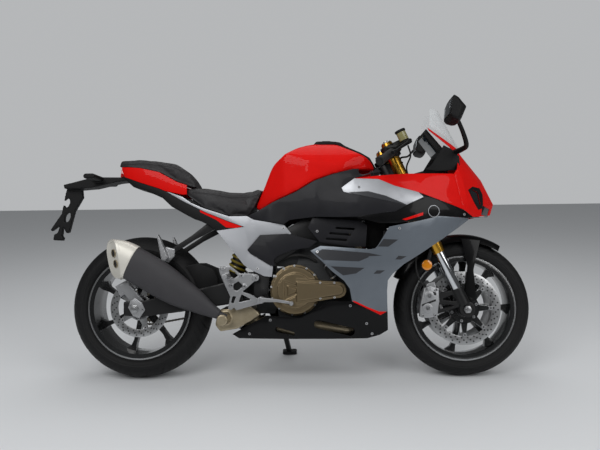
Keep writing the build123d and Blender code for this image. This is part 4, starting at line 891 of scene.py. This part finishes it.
for name, (node, finishName, where, outlines) in stripes.items():
    whole = bmesh.new()
    for side in where:
        for outline in outlines:
            area = paintedArea(node, outline, side)
            whole.from_mesh(area)
            bpy.data.meshes.remove(area)
    bmesh.ops.remove_doubles(whole, verts=whole.verts, dist=inlaid["doubles"])
    bmesh.ops.solidify(whole, geom=whole.faces[:], thickness=inlaid["thick"])
    ridePiece(whole, name, finishName, bodyOf[node], sharp=40)
print("stripes laid")

panelScrews = {  # nodes and places seen from the side
    "lower_fairings": [(790, 552), (1132, 646)], "side_covers": [(644, 656), (532, 482)],
    "belly_pan": [(925, 325), (994, 248), (1018, 203), (586, 264), (494, 203)],
    "scoop_panels": [(968, 822)], "band_panels": [(1420, 706)], "vent_covers": [(790, 640)],
}
coverBolts = {  # a ring round the clutch, and the lid beside it
    "centreX": 693, "centreZ": 388, "radius": 105,
    "angles": (38, 62, 92, 118, 145, 172, 200, 228, 262, 292, 322),
    "more": [(800, 421), (860, 420), (800, 355), (860, 358)],
}
for side, word in ((right, "Right"), (left, "Left")):
    spots = [surfaceAt(node, x, z, side) for node, places in panelScrews.items() for x, z in places]
    screws("panelScrews" + word, spots, radius=6.2, height=3.0, body="chassis")
places = [(coverBolts["centreX"] + coverBolts["radius"] * math.cos(math.radians(angle)),
           coverBolts["centreZ"] + coverBolts["radius"] * math.sin(math.radians(angle)))
          for angle in coverBolts["angles"]]
spots = [surfaceAt("clutch_cover", x, z) for x, z in places + coverBolts["more"]]
screws("coverBolts", spots, radius=6, height=6, body="chassis", sides=6, socket=0.3)
print("screws set")

emblem = {"x": 1280, "z": 717, "radius": 24, "wire": 1.5, "steps": 72}  # bare ring in mm
rings = []
for side in flanks:
    around = [(emblem["x"] + emblem["radius"] * c, emblem["z"] + emblem["radius"] * s)
              for c, s in circle(emblem["steps"]) + [(1, 0)]]
    rings.append((tube, [surfaceAt("band_panels", x, z, side)[0] for x, z in around], emblem["wire"], 8))
build("plainRing", "satinSilverPaint", "chassis", rings)

cockpit = {  # profiles of (along, radius) and their places, in mm
    "capUp": 798, "legY": 105, "forkCap": [(0, 22), (3, 22), (5, 20), (5, 12), (9, 11), (10, 9)],
    "stemUp": 750, "stemBack": 32, "stemNut": [(0, 20), (2, 20), (4, 16), (12, 15), (13, 12)],
    "keyForward": 44, "keySwitch": [(-4, 19), (12, 19), (14, 17), (14, 6), (20, 6), (21, 4)],
    "fuelCapAt": (835, 0, 1048), "fuelCapAim": (0.02, 0, 1),
    "fuelCap": [(0, 48), (3.5, 47), (5, 44), (5, 31), (3.6, 29), (3.6, 12), (6, 11), (6, 8)],
    # side outline, lateral places, edge radius
    "display": ([(1271, 1068), (1327, 991.5), (1325, 990), (1269, 1066.5)], -58, 58, 0.5),
    "mirrorGlass": ([(1305.3, 1076), (1310.3, 1117), (1319.6, 1139), (1317.7, 1139.8), (1308.2, 1117.6),
                     (1303.2, 1076.3)], -412, -318, 0.6),
    "liner": ([(1266, 908), (1295, 927), (1350, 1015), (1384, 997), (1416, 965), (1419, 905), (1321, 902)],
              -108, -104, 1),
}
barHoses = {  # route on the left side, radius
    "brakeHoses": ([(1182, 178, 1002), (1195, 160, 960), (1180, 143, 900), (1222, 139, 790),
                    (1232, 138, 660), (1216, 134, 560), (1214, 126, 480), (1232, 116, 425),
                    (1256, 106, 398)], 3.6),
    "barLoom": ([(1208, 150, 985), (1190, 122, 965), (1165, 70, 965), (1172, 48, 925)], 4.2),
}
capFoot = frontAxle + forkUp * cockpit["capUp"]
stemTop = frontAxle + forkUp * cockpit["stemUp"] - forkFront * cockpit["stemBack"]
capsAt = [capFoot + Vector((0, side * cockpit["legY"], 0)) for side in flanks]
build("forkCaps", "brushedSteel", "fork",
      [(knob, at, forkUp, cockpit["forkCap"], 28) for at in capsAt], sharp=28)
build("stemNut", "boltSteel", "fork", [(knob, stemTop, forkUp, cockpit["stemNut"], 6)], sharp=28)
build("keySwitch", "mouldedBlack", "fork",
      [(knob, stemTop + forkFront * cockpit["keyForward"], forkUp, cockpit["keySwitch"], 28)], sharp=28)
build("fuelCap", "powderBlack", "chassis",
      [(knob, cockpit["fuelCapAt"], cockpit["fuelCapAim"], cockpit["fuelCap"], 48)], sharp=28)
for name, (route, radius) in barHoses.items():
    build(name, "gripRubber", "fork",
          [(tube, smoothPath(onFlank(route, side)), radius, 10) for side in flanks])
build("displayGlass", "displayGlass", "chassis", [(prism, *cockpit["display"])])
build("mirrorGlass", "mirrorGlass", "chassis", [(prism, *cockpit["mirrorGlass"])], mirrored=True)
build("cockpitLiner", "mouldedBlack", "chassis", [(prism, *cockpit["liner"])], mirrored=True)
print("cockpit fitted")

fins = {  # thin slats up the slope of the radiator, in mm
    "foot": (1073, 0, 384), "slope": (35, 0, 270), "count": 52, "step": 4.9, "spin": (1, 0, -0.13),
    "slat": [(-9, -0.45), (9, -0.45), (9, 0.45), (-9, 0.45)], "half": 136,
}
slat = bmesh.new()
prism(slat, fins["slat"], -fins["half"], fins["half"])
slope = Vector(fins["slope"]).normalized()
spots = [(Vector(fins["foot"]) + slope * (k * fins["step"]), slope, Vector(fins["spin"]))
         for k in range(fins["count"])]
copies("radiatorFins", slat, spots, "castAluminium", "chassis")

spring = {  # a coil about the shock, in mm
    "foot": (417, 0, 456), "line": (0.32, 0, 0.95), "turns": 7, "steps": 168, "length": 150, "radius": 38,
    "wire": 5.5,
}
line, sideways = Vector(spring["line"]).normalized(), Vector((0, 1, 0))
coil = []
for k in range(spring["steps"] + 1):
    angle = 2 * math.pi * spring["turns"] * k / spring["steps"]
    out = sideways * math.cos(angle) + sideways.cross(line) * math.sin(angle)
    rise = line * (spring["length"] * k / spring["steps"])
    coil.append(Vector(spring["foot"]) + rise + out * spring["radius"])
build("shockSpring", "springYellow", "chassis", [(tube, coil, spring["wire"], 10)])

chamber = {  # can under the engine with two clamps and its link pipe, in mm
    "line": (1, 0, -0.12), "canAt": (765, -112, 236),
    "can": [(0, 6), (3, 14), (9, 19), (150, 19), (166, 15), (175, 6)],
    "clamps": [((800, -112, 231.8), 22), ((905, -112, 219.2), 21)], "clampHalf": 3, "clampIn": 18,
    "linkAt": (610, -112, 226), "linkAim": (1, 0, -0.25), "link": [(0, 6), (6, 14), (90, 14), (98, 6)],
}


def band(half, low, high):  # profile of a clamp round a pipe
    return [(-half, low), (-half, high), (half, high), (half, low)]


build("exhaustChamber", "heatedSteel", "chassis",
      [(knob, chamber["canAt"], chamber["line"], chamber["can"], 32)]
      + [(lathe, at, band(chamber["clampHalf"], chamber["clampIn"], outer), 40, chamber["line"])
         for at, outer in chamber["clamps"]]
      + [(knob, chamber["linkAt"], chamber["linkAim"], chamber["link"], 28)])

engineHoses = [  # route, radius
    ([(826, -98, 500), (838, -112, 478), (850, -118, 452), (868, -112, 430)], 11),
    ([(900, -98, 560), (884, -112, 530), (892, -120, 500), (915, -112, 470), (930, -98, 440)], 8),
    ([(640, -100, 520), (672, -112, 536), (715, -114, 540), (752, -104, 530), (784, -96, 512)], 6),
    ([(560, -104, 522), (600, -108, 508), (612, -106, 470), (604, -100, 430)], 5),
]
clipHalf, clipThick = 3, 1.6  # half the width of a clip, and its strap
hoseClips = [  # place, aim, inner radius
    ((832, -105, 489), (0.4, -0.5, -0.75), 11.5), ((857, -116, 443), (0.5, 0.1, -0.85), 11.5),
    ((891, -105, 545), (-0.45, -0.4, -0.8), 8.5), ((922, -105, 455), (0.45, 0.4, -0.8), 8.5),
]
build("engineHoses", "gripRubber", "chassis",
      [(tube, smoothPath(route), radius, 14) for route, radius in engineHoses])
build("hoseClips", "boltSteel", "chassis",
      [(lathe, at, band(clipHalf, radius, radius + clipThick), 28, aim) for at, aim, radius in hoseClips])
print("engine dressed")

outwards = (0, -1, 0)  # of the right flank
caliper = {  # outer half over the solid one, in mm
    "half": ([(1249, 392), (1273, 402), (1312, 390), (1312, 336), (1302, 268), (1253, 263), (1227, 268),
              (1230, 316)], -89, -117, 5),  # side outline, lateral places, edge radius
    "pistons": [(1270, -116, 358), (1262, -116, 306)],
    "piston": [(0, 21), (2.5, 20.5), (3.5, 18), (3.5, 9), (1, 8)],
    "bolts": [(1258, 388), (1300, 384), (1240, 274), (1292, 276)], "boltFace": 117.5,
    # slots: outlines of the strips painted as shade in the caliper's openings
    "slots": [[(1236, 322), (1296, 344), (1298, 336), (1236, 314)],
              [(1284, 378), (1300, 372), (1300, 360), (1290, 362)]],
    "slotFaces": (-116.6, -117.3), "slotEdge": 0.2,
}
build("radialCalipers", "silverCaliper", "fork",
      [(prism, *caliper["half"])]
      + [(knob, at, outwards, caliper["piston"], 32) for at in caliper["pistons"]],
      mirrored=True, sharp=32)
screws("caliperBolts", flankSpots(caliper["bolts"], caliper["boltFace"]), radius=6.5, height=5, body="fork")
# near-black strips a little proud of the caliper face: painted shade in place of its open slots
build("caliperSlots", "paintedRecessShade", "fork",
      [(prism, slot, *caliper["slotFaces"], caliper["slotEdge"]) for slot in caliper["slots"]], mirrored=True)

reflector = {  # round lens in a holder on a stay, in mm
    "at": frontAxle + Vector((-166, 0, 191)), "lens": [(0, 22), (4.5, 22), (6, 20), (6.6, 12)],
    "holder": [(0, 23), (1, 25), (5, 25), (5.5, 24), (5.5, 20)], "lensOut": 106, "holderOut": 103,
    "stay": [(-6, 4), (14, 72), (27, 68), (10, -4)], "stayThick": 4, "stayEdge": 0.8,
}
stay = [(reflector["at"].x + x, reflector["at"].z + z) for x, z in reflector["stay"]]
lensAt = reflector["at"] + Vector(outwards) * reflector["lensOut"]
holderAt = reflector["at"] + Vector(outwards) * reflector["holderOut"]
piece = build("reflectorLenses", "amberLens", "fork",
              [(knob, lensAt, outwards, reflector["lens"], 48)], mirrored=True)
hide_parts("reflectors")
build("reflectorHolders", "powderBlack", "fork",
      [(knob, holderAt, outwards, reflector["holder"], 48),
       (prism, stay, holderAt.y, holderAt.y - reflector["stayThick"], reflector["stayEdge"])], mirrored=True)

cup = {  # places along the handlebar, ahead of it and above it, in mm
    "barFrom": Vector((1152, -140, 1007)), "barTo": Vector((1040, -345, 906)),
    "along": 42, "forward": 46, "raise": 8, "tilt": 0.1, "cupUp": 4, "capUp": 43,
    "cup": [(0, 19), (2, 20.6), (37, 20.6), (39, 19)],
    "cap": [(0, 22), (1, 23.4), (8, 23.4), (10.4, 21), (10.4, 8), (9.6, 7)],
}
cupFoot = (cup["barFrom"] + (cup["barTo"] - cup["barFrom"]).normalized() * cup["along"]
           + (forkFront * (1 - cup["tilt"]) + forkUp * cup["tilt"]).normalized() * cup["forward"]
           + forkUp * cup["raise"])
build("fluidCups", "fluidCup", "fork",
      [(knob, cupFoot + forkUp * cup["cupUp"], forkUp, cup["cup"], 36)], mirrored=True)
build("cupCaps", "mouldedBlack", "fork",
      [(knob, cupFoot + forkUp * cup["capUp"], forkUp, cup["cap"], 36)], mirrored=True)
print("front brake dressed")

axleBlock = {  # side plate, its lateral places and edge radius, in mm
    "plate": ([(-30, 321), (-20, 349), (2, 362), (31, 341), (45, 310), (20, 274), (-8, 284)], -137, -142, 2),
    "bolts": [(34, 312), (-20, 332)], "boltFace": 142.5,
}
build("axleBlocks", "silverCaliper", "chassis", [(prism, *axleBlock["plate"])], mirrored=True, sharp=32)
screws("axleBlockBolts", flankSpots(axleBlock["bolts"], axleBlock["boltFace"]), radius=5, height=4,
       body="chassis")
print("rear hub dressed")

silencer = {
    "y": -192, "steps": 56, "power": 2.5, "divisions": 7,
    # along the run: x, z, tall, wide, tilt in degrees
    "body": [(372, 293, 40, 38, 27), (330, 315, 62, 50, 29), (277, 348, 94, 66, 30),
             (210, 386, 124, 80, 30), (138, 432, 144, 88, 30), (60, 480, 148, 93, 28), (0, 514, 147, 96, 26)],
    "cap": [(3, 513, 151, 98, 26), (-6, 516, 155, 100, 24), (-34, 525, 166, 101, 6),
            (-66, 530, 170, 100, -10), (-72, 531, 168, 98, -12)],
    "skew": 0.95,  # how far the cap's face is turned outwards
    "rim": [(0.975, 1.5), (0.93, 2.5), (0.88, 1.0), (0.86, -2.5)],  # share of the face's size, how far back
    "linkAt": (360, -192, 299), "linkAim": (0.9, 0, -0.44),
    "link": [(-4, 17), (2, 18), (6, 18), (8, 15), (46, 15)],
    "outletHeights": (24, -22), "outlet": [(-8, 15), (2.6, 15), (3.2, 16), (2.6, 17.4), (-8, 17.4)],
    # well: the disc painted as shade just inside each outlet
    "well": [(-8, 15), (-0.6, 15), (-0.5, 14)],
}


def upAndBack(tilt):  # directions across a section and out of it, to the rear
    lean = math.radians(tilt)
    return Vector((math.sin(lean), 0, math.cos(lean))), Vector((-math.cos(lean), 0, math.sin(lean)))


def ovalRing(x, z, tall, wide, tilt, skew=0.0):  # rounded oval across the silencer's run
    up, back = upAndBack(tilt)
    ring = []
    for c, s in circle(silencer["steps"]):
        high = math.copysign(abs(c) ** (2 / silencer["power"]), c) * tall / 2
        out = math.copysign(abs(s) ** (2 / silencer["power"]), s) * wide / 2
        ring.append(Vector((x, silencer["y"] + out, z)) + up * high + back * (skew * out))
    return ring


def alongRun(rows):  # smooth sections through the given ones
    return curved([rows[0]] + rows + [rows[-1]], silencer["divisions"])


piece = build("silencerBody", "heatPaint", "chassis",
              [(loft, [ovalRing(*row) for row in alongRun(silencer["body"])]),
               (knob, silencer["linkAt"], silencer["linkAim"], silencer["link"], 28)], sharp=30)
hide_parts("muffler")
rows = alongRun(silencer["cap"])
rings = [ovalRing(*row, skew=silencer["skew"] * (k / (len(rows) - 1)) ** 2) for k, row in enumerate(rows)]
x, z, tall, wide, tilt = rows[-1]
faceUp, faceBack = upAndBack(tilt)
for share, depth in silencer["rim"]:
    ring = ovalRing(x, z, tall * share, wide * share, tilt, silencer["skew"])
    rings.append([point + faceBack * depth for point in ring])
piece = build("silencerCap", "satinCap", "chassis", [(loft, rings)], sharp=40)
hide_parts("muffler_cap")
faceAim = (faceBack - Vector((0, silencer["skew"], 0))).normalized()
outletsAt = [Vector((x, silencer["y"], z)) + faceUp * height for height in silencer["outletHeights"]]
build("silencerOutlets", "heatedSteel", "chassis",
      [(lathe, at, silencer["outlet"], 36, faceAim) for at in outletsAt])
# a near-black disc just inside each outlet: painted shade in place of the open pipe
build("silencerWells", "paintedRecessShade", "chassis",
      [(knob, at, faceAim, silencer["well"], 30) for at in outletsAt])
print("silencer made")

truss = {  # open plate with bosses that carries the footrest, in mm
    "y": -140, "thick": 12, "grid": 2.0, "rounds": 2,
    "outline": [(363, 493), (417, 495), (456, 464), (514, 462), (538, 452), (534, 431), (517, 428),
                (486, 400), (466, 386), (502, 374), (531, 356), (554, 360), (566, 350), (560, 338),
                (456, 310), (438, 306), (431, 318), (416, 306), (404, 312), (414, 365), (394, 408),
                (370, 462)],
    "holes": [[(410, 482), (431, 473), (448, 453), (428, 440), (412, 452)],
              [(463, 374), (505, 352), (450, 340)],
              [(424, 414), (450, 430), (470, 410), (446, 390), (432, 392)],
              [(424, 366), (440, 366), (428, 336), (418, 338)]],
    # x, z, radius, from y, to y
    "bosses": [(524, 444, 15, -138, -156), (548, 350, 15, -138, -178), (464, 453, 8, -138, -155),
               (476, 408, 9, -138, -155), (420, 412, 9, -138, -155), (382, 484, 9, -138, -155),
               (405, 452, 12, -140, -252), (678, 337, 9, -174, -204)],
    "pedal": [(545, 362), (620, 354), (684, 342), (684, 331), (620, 341), (545, 342)],
    "pedalY": (-174, -181), "bolts": [(524, 444), (464, 453), (476, 408), (420, 412)], "boltFace": 156.5,
}


def holedPlate(bm, outline, holes, yFrom, yTo):  # flat plate with openings through it
    loops = [[Vector((x, 0, z)) for x, z in loop] for loop in [outline] + holes]
    flat = [p for loop in loops for p in loop]
    low = [bm.verts.new((p.x, yFrom, p.z)) for p in flat]
    high = [bm.verts.new((p.x, yTo, p.z)) for p in flat]
    for a, b, c in tessellate_polygon(loops):
        bm.faces.new((low[a], low[b], low[c]))
        bm.faces.new((high[c], high[b], high[a]))
    first = 0
    for loop in loops:
        for k in range(len(loop)):
            i, j = first + k, first + (k + 1) % len(loop)
            bm.faces.new((low[i], low[j], high[j], high[i]))
        first += len(loop)


def castPair(bm, name, form, finishName):  # a casting and its mirror image, in upright mm
    bmesh.ops.recalc_face_normals(bm, faces=bm.faces)
    bothSides(bm)
    bm.transform(park)
    return castPiece(bm, name, form["grid"], form["rounds"], finishName, "chassis")


hanger = bmesh.new()
holedPlate(hanger, truss["outline"], truss["holes"], truss["y"], truss["y"] - truss["thick"])
for x, z, radius, yFrom, yTo in truss["bosses"]:
    knob(hanger, (x, yFrom, z), outwards, [(0, radius), (yFrom - yTo, radius)], 28)
prism(hanger, truss["pedal"], *truss["pedalY"])
piece = castPair(hanger, "footrestHangers", truss, "silverCaliper")
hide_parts("footrests")
screws("hangerBolts", flankSpots(truss["bolts"], truss["boltFace"]), radius=6.5, height=4, body="chassis")
print("footrests made")

fillers = {  # what closes the view into the machine's empty inside: outline, lateral places, edge radius
    "sideDuct": ([(1000, 694), (1086, 694), (1098, 640), (1046, 566), (1000, 572)],
                 -92, -97, 1.5, "mouldedBlack"),
    "cylinderSide": ([(596, 492), (604, 548), (650, 574), (720, 580), (790, 560), (784, 500), (690, 486)],
                     -52, -86, 6, "castAluminium"),
    "lowerMount": ([(520, 286), (604, 284), (618, 352), (570, 372), (522, 350)],
                   -52, -84, 5, "castAluminium"),
}
for name, (*values, finishName) in fillers.items():
    build(name, finishName, "chassis", [(prism, *values)], mirrored=True)
print("sides closed")

mirror = {  # shell and arm, in mm
    "outline": [(1327, 1157), (1349, 1144), (1379, 1108), (1356, 1058), (1345, 1046), (1316, 1054),
                (1306, 1066), (1311, 1117)],
    # y and the share of the outline's reach forward and up at each section
    "sections": [(-300, 0.55, 0.72), (-308, 0.78, 0.88), (-330, 0.94, 0.97), (-365, 1.0, 1.0),
                 (-400, 0.94, 0.97), (-422, 0.78, 0.88), (-430, 0.55, 0.72)],
    "back": (1309, 1100), "grid": 2.6, "rounds": 9, "armRadii": (13, 8.5),
    "arm": [(1400, -90, 985), (1418, -150, 988), (1424, -198, 996), (1398, -248, 1040), (1352, -322, 1092)],
}
shell = bmesh.new()
backX, backZ = mirror["back"]
loft(shell, [[(backX + (x - backX) * ahead, y, backZ + (z - backZ) * lift) for x, z in mirror["outline"]]
             for y, ahead, lift in mirror["sections"]])
path = smoothPath(mirror["arm"])
thick, thin = mirror["armRadii"]
tube(shell, path, [thick + (thin - thick) * k / (len(path) - 1) for k in range(len(path))], 16)
piece = castPair(shell, "mirrorShells", mirror, "mouldedBlack")
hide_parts("mirrors")
print("mirrors made")

studio = {  # places in m, angles in degrees
    "cameraAt": (0.132, -2.6528, 0.964), "yaw": -1.47, "pitch": 6.53, "roll": -0.84, "lens": 34.1,
    "floorCorners": [(-9, -6, 0), (9, -6, 0), (9, 9, 0), (-9, 9, 0)], "floor": "d9dbdd", "floorRough": 0.6,
    "wallTint": "e4e6e8", "wall": 0.6, "light": 0.36, "sheen": 0.1,  # how bright: seen, as light, reflected
    "lamps": {  # place, aimed at, size in m, watts
        "keyLamp": ((-1.6, -3.2, 3.4), (0, 0, 0.5), 2.6, 92),
        "fillLamp": ((2.6, -2.6, 2.2), (0.2, 0, 0.5), 2.2, 44),
        "topLamp": ((0, 0.8, 3.8), (0, 0, 0.5), 3.0, 44),
    },
}


def aimed(at, heading, roll=0.0):  # place of a camera or lamp that looks along a heading
    turn = heading.to_track_quat("-Z", "Y").to_matrix().to_4x4()
    return Matrix.Translation(at) @ turn @ Matrix.Rotation(roll, 4, "Z")


def makeCamera():
    yaw, pitch, roll = (math.radians(studio[k]) for k in ("yaw", "pitch", "roll"))
    data = bpy.data.cameras.new("camera")
    data.lens = studio["lens"]
    camera = linked("camera", data)
    heading = Vector((math.sin(yaw) * math.cos(pitch), math.cos(yaw) * math.cos(pitch), -math.sin(pitch)))
    camera.matrix_world = aimed(studio["cameraAt"], heading, roll)
    bpy.context.scene.camera = camera


def makeFloor():
    mesh = bpy.data.meshes.new("studioFloor")
    mesh.from_pydata(studio["floorCorners"], [], [(0, 1, 2, 3)])
    floor = linked("studioFloor", mesh)
    material, tree = blankMaterial("paleFloor")
    shader = addNode(tree, "ShaderNodeBsdfPrincipled",
                     {"Base Color": linear(studio["floor"]), "Roughness": studio["floorRough"]})
    addNode(tree, "ShaderNodeOutputMaterial", {}, {"Surface": shader.outputs["BSDF"]})
    mesh.materials.append(material)


def makeLamps():
    for name, (place, aim, size, energy) in studio["lamps"].items():
        data = bpy.data.lights.new(name, "AREA")
        data.energy, data.size = energy, size
        linked(name, data).matrix_world = aimed(place, Vector(aim) - Vector(place))


def makeWorld():
    world = bpy.data.worlds.new("studioWorld")
    bpy.context.scene.world = world
    world.use_nodes = True
    tree = world.node_tree
    tree.nodes.clear()
    ray = addNode(tree, "ShaderNodeLightPath")
    seen = addNode(tree, "ShaderNodeMath", {"operation": "MAXIMUM"},
                   {0: ray.outputs["Is Camera Ray"], 1: ray.outputs["Is Transmission Ray"]})
    shone = addNode(tree, "ShaderNodeMapRange", {"To Min": studio["light"], "To Max": studio["sheen"]},
                    {"Value": ray.outputs["Is Glossy Ray"]})
    level = addNode(tree, "ShaderNodeMapRange", {"To Max": studio["wall"]},
                    {"Value": seen.outputs[0], "To Min": shone.outputs["Result"]})
    back = addNode(tree, "ShaderNodeBackground", {"Color": linear(studio["wallTint"])},
                   {"Strength": level.outputs["Result"]})
    addNode(tree, "ShaderNodeOutputWorld", {}, {"Surface": back.outputs["Background"]})


for make in (makeCamera, makeFloor, makeLamps, makeWorld):
    make()
bpy.context.scene.view_settings.view_transform = "Standard"
print("studio ready")
